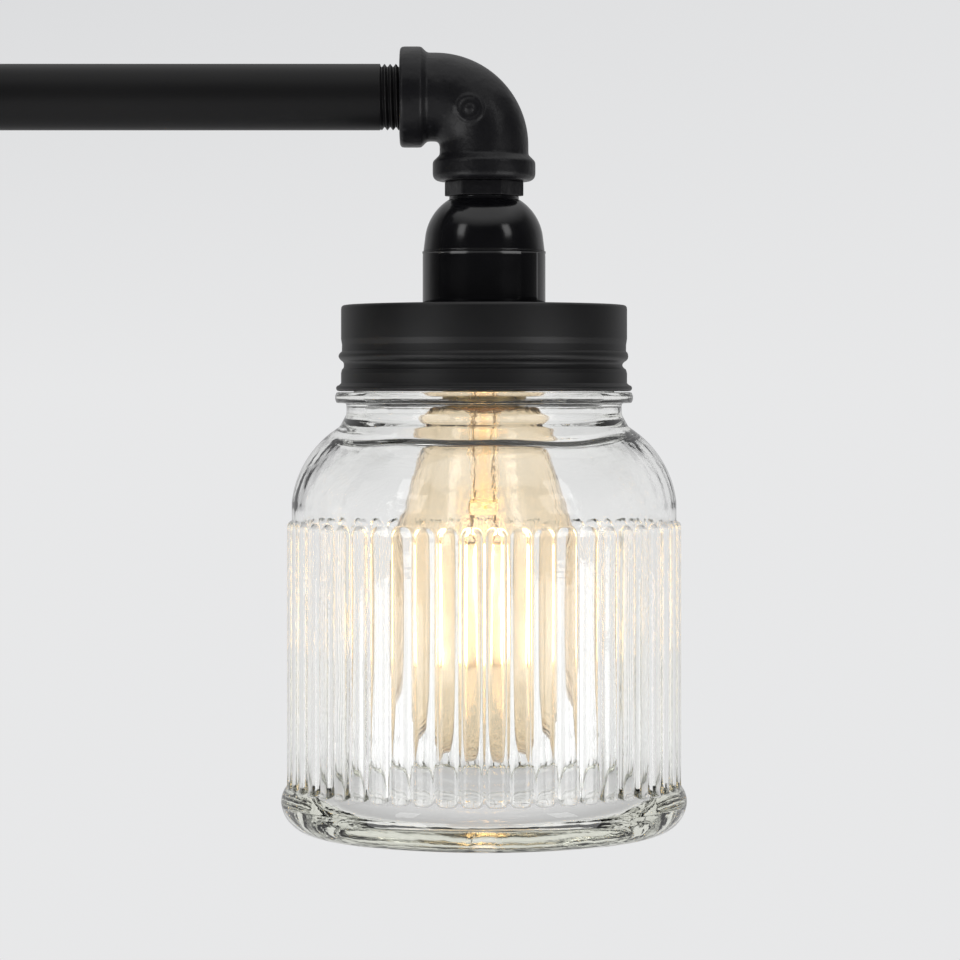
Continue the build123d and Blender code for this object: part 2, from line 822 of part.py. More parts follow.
# Ring nut: screws up the skirt's tube and clamps the lid
ring_top = lid_under - seat_gap
with BuildPart() as lid_ring:
    with BuildSketch(level(ring_top)):
        Circle(ring_flange_radius)
    extrude(amount=-ring_flange)
    with BuildSketch(level(ring_top)):
        Circle(ring_collar_radius)
    extrude(amount=-ring_height)
    with BuildSketch(level(ring_top)):
        Circle(skirt_thread_radius + fit_gap)
    extrude(amount=-ring_height, mode=Mode.SUBTRACT)
    with BuildSketch(level(ring_top - ring_flange)):
        with PolarLocations(ring_collar_radius + ring_notch_reach, ring_notches):
            Circle(ring_notch_radius)
    extrude(amount=-ring_height, mode=Mode.SUBTRACT)
export_pair(lid_ring.part, "lid_ring")

# Lid: pressed steel, with a raised step round the holder, a rolled bead and groove, and a hem
bead_z = lid_top - lid_bead_drop
groove_z = lid_top - lid_groove_drop
hem_top = lid_bottom + lid_hem_height
thread_top = lid_top - lid_thread_top_drop
hem_round = lid_hem_height / 2 - seat_gap
with BuildPart() as jar_lid:
    with BuildSketch(lamp_section):
        with BuildLine():
            l1 = Polyline(
                (lid_hole_radius, step_top),
                (step_radius - step_slope, step_top),
                (step_radius, lid_top),
                (lid_radius - lid_round, lid_top),
            )
            l2 = RadiusArc(l1 @ 1, (lid_radius, lid_top - lid_round), lid_round)
            l3 = Line(l2 @ 1, (lid_radius, bead_z + lid_waist_start))
            l4 = Line(l3 @ 1, (lid_radius - lid_waist, bead_z + lid_waist_top))
            l5 = Line(l4 @ 1, (lid_radius - lid_waist, bead_z + lid_waist_end))
            l6 = ThreePointArc(
                l5 @ 1,
                (lid_radius + lid_bead, bead_z),
                (lid_radius - lid_waist, bead_z - lid_bead_half),
            )
            l7 = ThreePointArc(
                l6 @ 1,
                (lid_radius - lid_groove, groove_z),
                (lid_radius - lid_waist, groove_z - lid_groove_half),
            )
            l8 = Line(l7 @ 1, (lid_radius, groove_z - lid_groove_end))
            l9 = Line(l8 @ 1, (lid_radius, hem_top + lid_hem_rise))
            l10 = Line(l9 @ 1, (lid_hem_radius - hem_round, hem_top))
            l11 = ThreePointArc(
                l10 @ 1,
                (lid_hem_radius, lid_bottom + lid_hem_height / 2),
                (lid_hem_radius - hem_round, lid_bottom),
            )
            l12 = Polyline(
                l11 @ 1,
                (lid_inner, lid_bottom),
                (lid_inner, hem_top),
                (lid_thread_inner, hem_top + lid_thread_slope),
                (lid_thread_inner, thread_top - lid_thread_slope),
                (lid_inner, thread_top),
                (lid_inner, lid_under),
                (step_radius + step_pressing, lid_under),
                (step_radius + step_pressing - step_slope, step_top - lid_wall),
                (lid_hole_radius, step_top - lid_wall),
                (lid_hole_radius, step_top),
            )
        make_face()
    revolve(axis=lamp_axis)
    add(
        screw_ridge(
            level(hem_top + jar_thread_start),
            jar_pitch,
            jar_thread_turns * jar_pitch,
            lid_thread_inner + fit_gap,
            lid_thread_inner - ridge_height,
            ridge_foot,
            ridge_tip,
        )
    )
export_pair(jar_lid.part, "jar_lid")

# Seal: a flat silicone ring on the jar's rim
with BuildPart() as jar_seal:
    with BuildSketch(level(seal_top)):
        Circle(seal_outer)
        Circle(seal_inner, mode=Mode.SUBTRACT)
    extrude(amount=-seal_thickness)
export_pair(jar_seal.part, "jar_seal")

# Jar: pressed glass with a screw mouth, a round shoulder, ribs and a bulging foot
bead_bottom = jar_bead_top - jar_bead_height
neck_bottom = bead_bottom - jar_neck_height
foot_z = jar_bottom + foot_rise
foot_centre = foot_radius - foot_curve
foot_start = foot_z + sqrt(foot_curve**2 - (jar_radius - foot_centre) ** 2)
jar_inner = jar_radius - jar_wall


def jar_drop(drop):
    """Height of a point that lies the given distance below the lid's hem."""
    return lid_bottom - drop


with BuildPart() as jar:
    with BuildSketch(lamp_section):
        with BuildLine():
            l1 = Polyline(
                (0, jar_bottom + push_up_height),
                (0, jar_rim),
                (jar_mouth_radius - jar_rim_bevel, jar_rim),
                (jar_mouth_radius, jar_rim - jar_rim_bevel),
                (jar_mouth_radius, jar_bead_top),
                (jar_bead_radius - jar_bead_swell, jar_bead_top),
            )
            l2 = ThreePointArc(
                l1 @ 1,
                (jar_bead_radius, jar_bead_top - jar_bead_height / 2),
                (jar_bead_radius - jar_bead_swell, bead_bottom),
            )
            l3 = Polyline(
                l2 @ 1,
                (jar_neck_radius, bead_bottom - jar_neck_bevel),
                (jar_neck_radius, neck_bottom),
                (shoulder_start_radius, jar_drop(shoulder_start_drop)),
            )
            l4 = ThreePointArc(
                l3 @ 1,
                (shoulder_mid_radius, jar_drop(shoulder_mid_drop)),
                (jar_radius, jar_drop(shoulder_end_drop)),
            )
            l5 = Line(l4 @ 1, (jar_radius, foot_start))
            l6 = ThreePointArc(
                l5 @ 1,
                (
                    foot_centre + foot_curve * sqrt(0.75),
                    foot_z + foot_curve / 2,
                ),
                (foot_radius, foot_z),
            )
            l7 = ThreePointArc(
                l6 @ 1,
                (foot_mid_radius, jar_bottom + foot_mid_rise),
                (foot_flat_radius, jar_bottom),
            )
            l8 = Polyline(
                l7 @ 1,
                (push_up_radius, jar_bottom),
                (push_up_radius - push_up_slope, jar_bottom + push_up_height),
                l1 @ 0,
            )
        make_face()
    revolve(axis=lamp_axis)
    # Each rib is a round bar with ball ends, sunk in the wall so that its crest stands proud.
    half_width = rib_share * pi * (jar_radius + rib_proud / 2) / rib_count
    bar_radius = (half_width**2 + rib_proud**2) / (2 * rib_proud)
    bar_centre = jar_radius + rib_proud - bar_radius
    bar_top = jar_drop(rib_top_drop) - half_width
    with BuildSketch(level(foot_z)):
        with PolarLocations(bar_centre, rib_count, start_angle=180 / rib_count):
            Circle(bar_radius)
    extrude(amount=bar_top - foot_z)
    with Locations(level(bar_top).location):
        with PolarLocations(bar_centre, rib_count, start_angle=180 / rib_count):
            Sphere(bar_radius)
    # Inside of the jar
    with BuildSketch(lamp_section):
        with BuildLine():
            c1 = Polyline(
                (0, floor_top),
                (0, jar_rim),
                (jar_bore, jar_rim),
                (jar_bore, jar_drop(jar_bore_end_drop)),
                (jar_ledge_radius, jar_drop(jar_ledge_drop)),
            )
            c2 = ThreePointArc(
                c1 @ 1,
                (
                    shoulder_mid_radius - shoulder_mid_wall,
                    jar_drop(shoulder_mid_drop + shoulder_lag[0]),
                ),
                (jar_inner, jar_drop(shoulder_end_drop + shoulder_lag[1])),
            )
            c3 = Line(c2 @ 1, (jar_inner, floor_top + floor_corner))
            c4 = RadiusArc(c3 @ 1, (jar_inner - floor_corner, floor_top), floor_corner)
            c5 = Line(c4 @ 1, c1 @ 0)
        make_face()
    revolve(axis=lamp_axis, mode=Mode.SUBTRACT)
    add(
        screw_ridge(
            level(hem_top + jar_thread_start + jar_pitch / 2),
            jar_pitch,
            jar_thread_turns * jar_pitch,
            jar_mouth_radius - fit_gap,
            jar_mouth_radius + ridge_height,
            ridge_foot,
            ridge_tip,
        )
    )
export_pair(jar.part, "jar")

# Bulb cap: brass screw shell, with a spun skirt where it meets the glass
cone_top = tip_top - cap_tip_height - seat_gap
cone_bottom = cone_top - cap_cone_height
with BuildPart() as bulb_cap:
    with BuildSketch(lamp_section):
        with BuildLine():
            Polyline(
                (cap_core_radius - cap_wall, cap_bottom + cap_wall),
                (cap_skirt_radius - cap_wall, cap_bottom),
                (cap_skirt_radius, cap_bottom),
                (
                    cap_skirt_radius - cap_skirt_taper,
                    cap_bottom + cap_skirt_height - cap_skirt_slope,
                ),
                (cap_core_radius, cap_bottom + cap_skirt_height),
                (cap_core_radius, cone_bottom),
                (cap_tip_radius + cap_cone_wall, cone_top),
                (0, cone_top),
                (0, cone_top - cap_cone_wall),
                (cap_tip_radius, cone_top - cap_cone_wall),
                (cap_core_radius - cap_wall, cone_bottom - cap_wall),
                close=True,
            )
        make_face()
    revolve(axis=lamp_axis)
    add(
        screw_ridge(
            level(bulb_ridge_start),
            bulb_pitch,
            cap_turns * bulb_pitch,
            cap_core_radius - fit_gap,
            cap_crest_radius,
            cap_ridge_foot,
            cap_ridge_tip,
        )
    )
export_pair(bulb_cap.part, "bulb_cap")

# Bulb contact: the solder button on the cap
with BuildPart() as bulb_contact:
    with BuildSketch(level(cone_top + fit_gap)):
        Circle(cap_tip_radius)
    extrude(amount=cap_tip_height - fit_gap)
    fillet(bulb_contact.edges().filter_by(GeomType.CIRCLE).sort_by(Axis.Z)[-1], cap_tip_round)
export_pair(bulb_contact.part, "bulb_contact")

# Bulb glass: pear-shaped, blown, open into the cap
glass_top = cap_bottom + bulb_neck_depth


def bulb_outline(inset):
    """The glass's outer line from cap to tip, or a line the given distance inside it."""
    points = [
        (share * bulb_radius - inset, cap_bottom - down * (glass_length - 2 * inset) - inset)
        for down, share in bulb_form
    ]
    return points + [(0, bulb_bottom + inset)]


bulb_neck = cap_core_radius - cap_wall - bulb_neck_gap
with BuildPart() as bulb_envelope:
    with BuildSketch(lamp_section):
        with BuildLine():
            outer = Spline(*bulb_outline(0), tangents=[(1.2, -1.0), (-1, 0)])
            inner = Spline(*bulb_outline(bulb_wall), tangents=[(1.2, -1.0), (-1, 0)])
            Line(outer @ 1, inner @ 1)
            Polyline(
                outer @ 0,
                (bulb_neck + bulb_neck_flare, cap_bottom - fit_gap),
                (bulb_neck, cap_bottom - fit_gap),
                (bulb_neck, glass_top),
                (bulb_neck - bulb_wall, glass_top),
                (bulb_neck - bulb_wall, cap_bottom - bulb_wall),
                inner @ 0,
            )
        make_face()
    revolve(axis=lamp_axis)
export_pair(bulb_envelope.part, "bulb_envelope")

# Stem: the glass mount inside the bulb's neck
stem_bottom = glass_top - stem_length
stem_flare = bulb_neck - bulb_wall - fit_gap
with BuildPart() as bulb_stem:
    with BuildSketch(lamp_section):
        with BuildLine():
            Polyline(
                (0, glass_top),
                (stem_flare, glass_top),
                (stem_flare, glass_top - stem_collar),
                (stem_radius, glass_top - stem_cone),
                (stem_radius, stem_bottom + stem_pinch_height),
                (stem_radius - stem_pinch, stem_bottom),
                (0, stem_bottom),
                close=True,
            )
        make_face()
    revolve(axis=lamp_axis)
export_pair(bulb_stem.part, "bulb_stem")

# Lead wires: two supports with a quarter ring each at the top of the filaments, which join
# two filaments to a wire, and a ring at the bottom that joins all four
filament_top = cap_bottom - filament_drop
wire_end = filament_top + lead_wire_radius + fit_gap
with BuildPart() as bulb_leads:
    for side in (1, -1):
        with BuildLine() as wire:
            FilletPolyline(
                (lamp_x + side * lead_wire_top, 0, stem_bottom - seat_gap),
                (lamp_x + side * lead_wire_top, 0, stem_bottom - lead_wire_straight),
                (lamp_x + side * lead_wire_low, 0, wire_end + lead_wire_turn),
                (lamp_x + side * filament_ring_top, 0, wire_end),
                radius=lead_wire_bend,
            )
        with BuildSketch(Plane(origin=wire.line @ 0, z_dir=wire.line % 0)):
            Circle(lead_wire_radius)
        sweep(path=wire.line)
        with BuildSketch(lamp_section):
            with Locations((side * filament_ring_top, wire_end)):
                Circle(lead_wire_radius)
        revolve(axis=lamp_axis, revolution_arc=90)
    with Locations((lamp_x, 0, filament_top - filament_length - lead_wire_radius - fit_gap)):
        Torus(filament_ring_low, lead_wire_radius)
export_pair(bulb_leads.part, "bulb_leads")

# Filaments: four sticks, spread a little towards the bottom
with BuildPart() as bulb_filaments:
    slope = (filament_ring_low - filament_ring_top) / filament_length
    for turn in (0, 90, 180, 270):
        top = Vector(filament_ring_top, 0, 0).rotate(Axis.Z, turn) + Vector(lamp_x, 0, filament_top)
        low = Vector(filament_ring_low, 0, 0).rotate(Axis.Z, turn)
        low += Vector(lamp_x, 0, filament_top - filament_length)
        with BuildSketch(Plane(origin=top, z_dir=low - top)):
            Circle(filament_radius)
        extrude(amount=(low - top).length)
export_pair(bulb_filaments.part, "bulb_filaments")

# Lamp lead: from the terminal block down the drop pipe, along the arm and into the holder
lead_end = hex_bottom - stub_length - lead_end_drop
lead_points = [
    (lead_offset, block_place + block_entry - fit_gap, -lead_top_drop),
    (lead_offset, 0, -lead_top_drop),
    (lead_offset, 0, bar_z),
    (lamp_x, 0, bar_z),
    (lamp_x, 0, lead_end),
]
with BuildPart() as lamp_lead:
    with BuildLine() as course:
        FilletPolyline(*lead_points, radius=[lead_top_bend, lead_tee_bend, lead_elbow_bend])
    with BuildSketch(Plane(origin=course.line @ 0, z_dir=course.line % 0)):
        Circle(lead_radius)
    sweep(path=course.line)
    for side in (1, -1):
        with BuildLine() as core:
            FilletPolyline(
                (lamp_x + side * core_offset, 0, lead_end),
                (lamp_x + side * core_offset, 0, lead_end - core_straight),
                (lamp_x + side * terminal_spread, 0, insert_top + core_arch),
                (lamp_x + side * terminal_spread, 0, insert_top - core_dip),
                radius=core_bend,
            )
        with BuildSketch(Plane(origin=core.line @ 0, z_dir=core.line % 0)):
            Circle(core_radius)
        sweep(path=core.line)
lead_length = course.wire().length
print("lamp lead length", round(lead_length, 1))
lamp_lead.part.label = "lamp_lead_right"
export_step(lamp_lead.part, "parts/lamp_lead_right.step")
mirrored = mirror(lamp_lead.part, about=Plane.YZ)
mirrored.label = "lamp_lead_left"
export_step(mirrored, "parts/lamp_lead_left.step")
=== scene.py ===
import math

import bmesh
import bpy
import numpy as np
from mathutils import Matrix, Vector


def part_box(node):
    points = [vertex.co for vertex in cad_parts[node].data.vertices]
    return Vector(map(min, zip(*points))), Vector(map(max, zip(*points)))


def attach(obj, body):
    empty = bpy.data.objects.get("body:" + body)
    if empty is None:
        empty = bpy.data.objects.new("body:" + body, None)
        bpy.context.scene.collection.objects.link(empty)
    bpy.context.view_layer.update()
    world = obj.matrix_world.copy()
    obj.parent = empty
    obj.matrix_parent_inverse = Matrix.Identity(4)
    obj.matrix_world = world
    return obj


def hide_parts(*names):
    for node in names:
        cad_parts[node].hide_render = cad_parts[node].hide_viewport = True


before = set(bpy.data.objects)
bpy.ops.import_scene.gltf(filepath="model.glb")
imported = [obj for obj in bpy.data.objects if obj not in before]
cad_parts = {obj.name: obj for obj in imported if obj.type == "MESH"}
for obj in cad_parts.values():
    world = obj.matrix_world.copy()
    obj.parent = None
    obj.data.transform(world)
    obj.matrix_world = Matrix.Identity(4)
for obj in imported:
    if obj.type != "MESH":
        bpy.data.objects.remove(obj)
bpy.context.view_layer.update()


# Ceiling bracket, rose screws and the fasteners round them: pressed steel strap and turned
# screws, zinc plated and dulled by age. The strap screws to the ceiling through its slots, and
# its tapped tabs take the rose screws.
class Signal:
    """An output of a node. A sum written on it adds the Math nodes that work it out."""

    def __init__(self, finish, socket):
        self.finish = finish
        self.socket = socket

    def reckon(self, operation, first, second):
        return self.finish.node("ShaderNodeMath", {"operation": operation}, {0: first, 1: second})

    def __add__(self, other):
        return self.reckon("ADD", self, other)

    def __sub__(self, other):
        return self.reckon("SUBTRACT", self, other)

    def __rsub__(self, other):
        return self.reckon("SUBTRACT", other, self)

    def __mul__(self, other):
        return self.reckon("MULTIPLY", self, other)

    __radd__ = __add__
    __rmul__ = __mul__


class Finish:
    """A finish built node by node, on a material or on the world."""

    def __init__(self, owner):
        self.owner = owner
        owner.use_nodes = True
        self.tree = owner.node_tree
        self.tree.nodes.clear()

    def node(self, kind, settings=None, sockets=None, out=0):
        """Adds a node: its settings first, then the value or link of each named socket."""
        made = self.tree.nodes.new(kind)
        for name, value in (settings or {}).items():
            if name == "stops":
                for place, shade in value[2:]:
                    made.color_ramp.elements.new(place)
                for element, (place, shade) in zip(made.color_ramp.elements, value):
                    element.position = place
                    element.color = (*shade, 1)
            else:
                setattr(made, name, value)
        for name, value in (sockets or {}).items():
            if isinstance(value, Signal):
                self.tree.links.new(value.socket, made.inputs[name])
            else:
                made.inputs[name].default_value = value
        return Signal(self, made.outputs[out]) if made.outputs else None

    def place(self, stretch=(1, 1, 1)):
        """Where a point lies on the piece, in metres, stretched along X, Y and Z."""
        spot = self.node("ShaderNodeTexCoord", out="Object")
        sockets = {"Vector": spot, "Scale": stretch}
        return self.node("ShaderNodeMapping", {"vector_type": "POINT"}, sockets)

    def ramp(self, value, low, high):
        """A mask that goes from 0 to 1 as a value goes from low to high."""
        sockets = {"Value": value, "From Min": low, "From Max": high}
        return self.node("ShaderNodeMapRange", {}, sockets)

    def height(self):
        """How high a point lies on the piece, in metres."""
        spot = self.node("ShaderNodeTexCoord", out="Object")
        return self.node("ShaderNodeSeparateXYZ", {}, {0: spot}, 2)

    def wear(self, low, high):
        """A mask of the edges that handling rubs, from how sharply the surface bends."""
        return self.ramp(self.node("ShaderNodeNewGeometry", out="Pointiness"), low, high)

    def mottle(self, size, detail=3, stretch=(1, 1, 1)):
        """Soft random patches of about the given size in millimetres, from 0 to 1."""
        sockets = {"Vector": self.place(stretch), "Scale": 1000 / size, "Detail": detail}
        return self.node("ShaderNodeTexNoise", {}, sockets)

    def shade(self, mask, *stops):
        """A colour that follows a mask from 0 to 1 through its stops."""
        return self.node("ShaderNodeValToRGB", {"stops": stops}, {"Fac": mask})

    def relief(self, height, depth, under=None):
        """The normal of a surface roughened by a height from 0 to 1, in millimetres of depth."""
        sockets = {"Height": height, "Distance": depth / 1000, "Strength": 1.0}
        if under is not None:
            sockets["Normal"] = under
        return self.node("ShaderNodeBump", {}, sockets)

    def coat(self, **sockets):
        """Ends a material with its shader; underscores in the names stand for spaces."""
        named = {name.replace("_", " "): value for name, value in sockets.items()}
        self.finish_with(self.node("ShaderNodeBsdfPrincipled", {}, named))

    def finish_with(self, surface, tint=None, density=0.0):
        """Ends a material with its surface, and with what its depth takes out of the light."""
        ends = {"Surface": surface}
        if tint is not None:
            depth = {"Color": (*tint, 1), "Density": density}
            ends["Volume"] = self.node("ShaderNodeVolumeAbsorption", {}, depth)
        self.node("ShaderNodeOutputMaterial", {}, ends)


def dress(finish, *nodes):
    """Gives a finish to the modelled pieces that keep their own shape."""
    for name in nodes:
        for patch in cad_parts[name].material_slots:
            patch.material = finish.owner


def both(*names):
    return [f"{name}_{end}" for name in names for end in ("right", "left")]


zinc = Finish(bpy.data.materials.new("dulled_zinc"))
bloom = zinc.mottle(5, 4)
zinc.coat(
    Base_Color=zinc.shade(bloom, (0.3, (0.42, 0.43, 0.44)), (0.7, (0.62, 0.62, 0.6))),
    Metallic=1.0,
    Roughness=bloom * 0.25 + 0.28,
    Normal=zinc.relief(zinc.mottle(0.6), 0.02),
)
dress(zinc, "ceiling_bracket", "earth_screw", "clamp_screws", "rose_nut", *both("terminal_screws"))

# Terminal block: moulded white nylon, snapped under the strap. The clamp screws in its mouths
# hold the lamp leads, and its skin has the dull sheen and faint flow marks of moulding.
nylon = Finish(bpy.data.materials.new("moulded_nylon"))
flow = nylon.mottle(7, 3, (1, 0.35, 1))
nylon.coat(
    Base_Color=nylon.shade(flow, (0.3, (0.72, 0.71, 0.66)), (0.7, (0.82, 0.81, 0.77))),
    Roughness=flow * 0.2 + 0.38,
    Subsurface_Weight=0.1,
    Subsurface_Scale=0.001,
    Normal=nylon.relief(nylon.mottle(0.4), 0.012),
)
dress(nylon, "terminal_block")

# Ceiling rose, its collar and its screws: a spun steel dish, sprayed satin black, held to the
# bracket by a screw at each side and to the drop pipe by the collar below.
paint = Finish(bpy.data.materials.new("sprayed_black"))
peel = paint.mottle(1.6, 2)
cloud = paint.mottle(24, 3)
paint.coat(
    Base_Color=paint.shade(cloud, (0.3, (0.010, 0.010, 0.011)), (0.7, (0.016, 0.016, 0.017))),
    Roughness=cloud * 0.12 + 0.34,
    Normal=paint.relief(peel, 0.03),
)
dress(paint, "ceiling_rose", "rose_collar", "rose_screws")

# Pipes: half-inch steel tube with a satin black coat, threaded at both ends by a die, so a few
# turns of thread show at each fitting. The drop pipe hangs from the rose; an arm runs each way.
MM = 0.001
lamp_x = 280.0
bar_z = -165.0
pipe_radius = 10.65
pipe_bore = 7.9
thread_pitch = 1.814
thread_depth = 0.95
thread_shown = 6.4
thread_step = 0.14
hidden_radius = 10.4
tee_reach = 33.4
elbow_reach = 33.4
rose_reach = 43.4


def surface_piece(name, rings, closed=False, sharp=40):
    """A piece whose skin runs through rings of points, in millimetres, that each go round it."""
    counts = [len(ring) for ring in rings]
    starts = np.concatenate([[0], np.cumsum(counts)])
    faces = []
    steps = range(len(rings) if closed else len(rings) - 1)
    for i in steps:
        j = (i + 1) % len(rings)
        many, few = (i, j) if counts[i] >= counts[j] else (j, i)
        share = counts[many] // counts[few]
        for k in range(counts[few]):
            k2 = (k + 1) % counts[few]
            wide = [starts[many] + (k * share + m) % counts[many] for m in range(share + 1)]
            face = wide + [starts[few] + k2, starts[few] + k]
            faces.append([int(v) for v in (face if many == i else face[::-1])])
    if not closed:
        faces += [list(range(counts[0])), list(range(int(starts[-2]), int(starts[-1])))]
    points = np.concatenate(rings) * MM
    skin = bpy.data.meshes.new(name)
    skin.from_pydata(points.tolist(), [], faces)
    skin.validate()
    outward = bmesh.new()
    outward.from_mesh(skin)
    bmesh.ops.recalc_face_normals(outward, faces=outward.faces)
    if outward.calc_volume(signed=True) < 0:
        bmesh.ops.reverse_faces(outward, faces=outward.faces)
    outward.to_mesh(skin)
    outward.free()
    skin.polygons.foreach_set("use_smooth", [True] * len(skin.polygons))
    skin.set_sharp_from_angle(angle=math.radians(sharp))
    skin.update()
    piece = bpy.data.objects.new(name, skin)
    bpy.context.scene.collection.objects.link(piece)
    return piece


def hang(piece, body, finish, slot, *nodes):
    """Fixes a piece to its body, in place of the plain nodes it stands for."""
    if not piece.data.materials:
        piece.data.materials.append(finish.owner)
    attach(piece, body)
    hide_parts(*nodes)
    return piece


def pair(piece, body, finish, slot, *nodes):
    """Hangs a right-hand piece, and its twin turned half round for the left lamp."""
    name = piece.name
    piece.name = f"{name}_right"
    twin = piece.copy()
    twin.data = piece.data.copy()
    twin.data.transform(Matrix.Rotation(math.pi, 4, "Z"))
    twin.name = f"{name}_left"
    bpy.context.scene.collection.objects.link(twin)
    for end, made in (("right", piece), ("left", twin)):
        owner = body if body == "root" else f"{body}_{end}"
        hang(made, owner, finish, slot, *[f"{node}_{end}" for node in nodes])
    return piece, twin


def threaded_pipe(name, ends, along):
    """A pipe whose stations run from one end to the other: place, and how much thread shows."""
    around = 96
    angle = np.arange(around) * 2 * math.pi / around
    rings = []
    for place, outside, depth in ends:
        turn = (place / thread_pitch - angle / (2 * math.pi)) % 1
        flank = np.abs(turn - 0.5) * 2
        radius = outside - depth * thread_depth * np.clip(flank * 1.25 - 0.12, 0, 1)
        rings.append(along(place, radius * np.cos(angle), radius * np.sin(angle)))
    for place in (ends[-1][0], ends[0][0]):
        inner = np.full(around, pipe_bore)
        rings.append(along(place, inner * np.cos(angle), inner * np.sin(angle)))
    return surface_piece(name, rings, closed=True, sharp=50)


def stations(plain_from, plain_to, first_end, last_end):
    """Stations of a pipe: thread hidden in a fitting, thread that shows, and the plain tube."""
    shown_from, shown_to = plain_from - thread_shown, plain_to + thread_shown
    listed = [(first_end, hidden_radius, 0.0), (shown_from - thread_step, hidden_radius, 0.0)]
    for place in np.arange(shown_from, plain_from - 0.3, thread_step):
        listed.append((place, pipe_radius - 0.05, 1.0))
    for place, depth in ((plain_from - 0.2, 0.6), (plain_from, 0.0), (plain_from + 0.3, 0.0)):
        listed.append((place, pipe_radius, depth))
    for place in np.linspace(plain_from + 4, plain_to - 4, 9):
        listed.append((place, pipe_radius, 0.0))
    for place, depth in ((plain_to - 0.3, 0.0), (plain_to, 0.0), (plain_to + 0.2, 0.6)):
        listed.append((place, pipe_radius, depth))
    for place in np.arange(plain_to + 0.3, shown_to, thread_step):
        listed.append((place, pipe_radius - 0.05, 1.0))
    return listed + [(shown_to + thread_step, hidden_radius, 0.0), (last_end, hidden_radius, 0.0)]


black_pipe = Finish(bpy.data.materials.new("coated_pipe"))
drift = black_pipe.mottle(30, 4, (0.3, 1, 1))
speck = black_pipe.mottle(0.45, 2)
crest = black_pipe.wear(0.52, 0.62)
black_pipe.coat(
    Base_Color=black_pipe.shade(
        crest * 0.8 + drift * 0.2, (0.0, (0.0045, 0.0045, 0.005)), (1.0, (0.030, 0.029, 0.028))
    ),
    Roughness=drift * 0.14 + 0.34,
    Specular_IOR_Level=0.18,
    Normal=black_pipe.relief(speck, 0.008),
)
arm_end = 15.0
arm = threaded_pipe(
    "pipe_arm",
    stations(tee_reach, lamp_x - elbow_reach, arm_end, lamp_x - arm_end),
    lambda place, y, z: np.stack([np.full_like(y, place), y, z + bar_z], 1),
)
pair(arm, "root", black_pipe, "black_pipe", "arm_pipe")
drop_low, drop_high = (corner.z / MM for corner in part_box("drop_pipe"))
drop = threaded_pipe(
    "pipe_drop",
    stations(bar_z + tee_reach, -rose_reach, drop_low, drop_high),
    lambda place, x, y: np.stack([x, y, np.full_like(x, place)], 1),
)
hang(drop, "root", black_pipe, "black_pipe", "drop_pipe")


# Tee, elbows and bushings: malleable iron castings with a thick band round each mouth and soft
# edges, coated satin black over the sand skin; the hexagon bushings are turned from bar.
def softened(name, node, cell, passes):
    """A copy of a modelled casting with its corners rounded as a foundry pattern's are."""
    piece = bpy.data.objects.new(name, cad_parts[node].data.copy())
    bpy.context.scene.collection.objects.link(piece)
    grid = piece.modifiers.new("grid", "REMESH")
    grid.mode = "VOXEL"
    grid.voxel_size = cell * MM
    rub = piece.modifiers.new("rub", "SMOOTH")
    rub.factor = 0.6
    rub.iterations = passes
    graph = bpy.context.evaluated_depsgraph_get()
    cast = bpy.data.meshes.new_from_object(piece.evaluated_get(graph))
    piece.modifiers.clear()
    piece.data = cast
    cast.materials.clear()
    cast.polygons.foreach_set("use_smooth", [True] * len(cast.polygons))
    return piece


casting = Finish(bpy.data.materials.new("coated_casting"))
sand = casting.mottle(0.55, 4)
lump = casting.mottle(5.5, 2)
worn = casting.wear(0.51, 0.57)
casting.coat(
    Base_Color=casting.shade(
        worn * 0.5 + lump * 0.4, (0.1, (0.0045, 0.0045, 0.0055)), (0.9, (0.016, 0.0155, 0.017))
    ),
    Roughness=sand * 0.16 + 0.27,
    Specular_IOR_Level=0.26,
    Normal=casting.relief(sand, 0.035, casting.relief(lump, 0.35)),
)
pair(softened("cast_elbow", "elbow_right", 0.42, 7), "root", casting, "black_casting", "elbow")
hang(softened("cast_tee", "tee", 0.5, 5), "root", casting, "black_casting", "tee")
bushing = softened("turned_bushing", "hex_bushing_right", 0.22, 3)
pair(bushing, "root", casting, "black_casting", "hex_bushing")

# Lamp leads: round two-core cable in a grey sheath with two tinned cores, drawn through the
# pipes before the fittings are screwed up, from the terminal block to each holder.
sheath = Finish(bpy.data.materials.new("lead_sheath"))
scuff = sheath.mottle(9, 4)
sheath.coat(
    Base_Color=sheath.shade(scuff, (0.3, (0.26, 0.26, 0.27)), (0.7, (0.36, 0.36, 0.36))),
    Roughness=scuff * 0.2 + 0.4,
    Normal=sheath.relief(sheath.mottle(0.5), 0.01),
)
dress(sheath, *both("lamp_lead"))

# Lamp holders: two moulded halves in polished black phenolic. The domed cap screws on the
# bushing and the skirt screws into the cap, with a low grip rib on one side of it.
holder_top, holder_seam = (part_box("holder_cap_right")[i].z / MM for i in (1, 0))


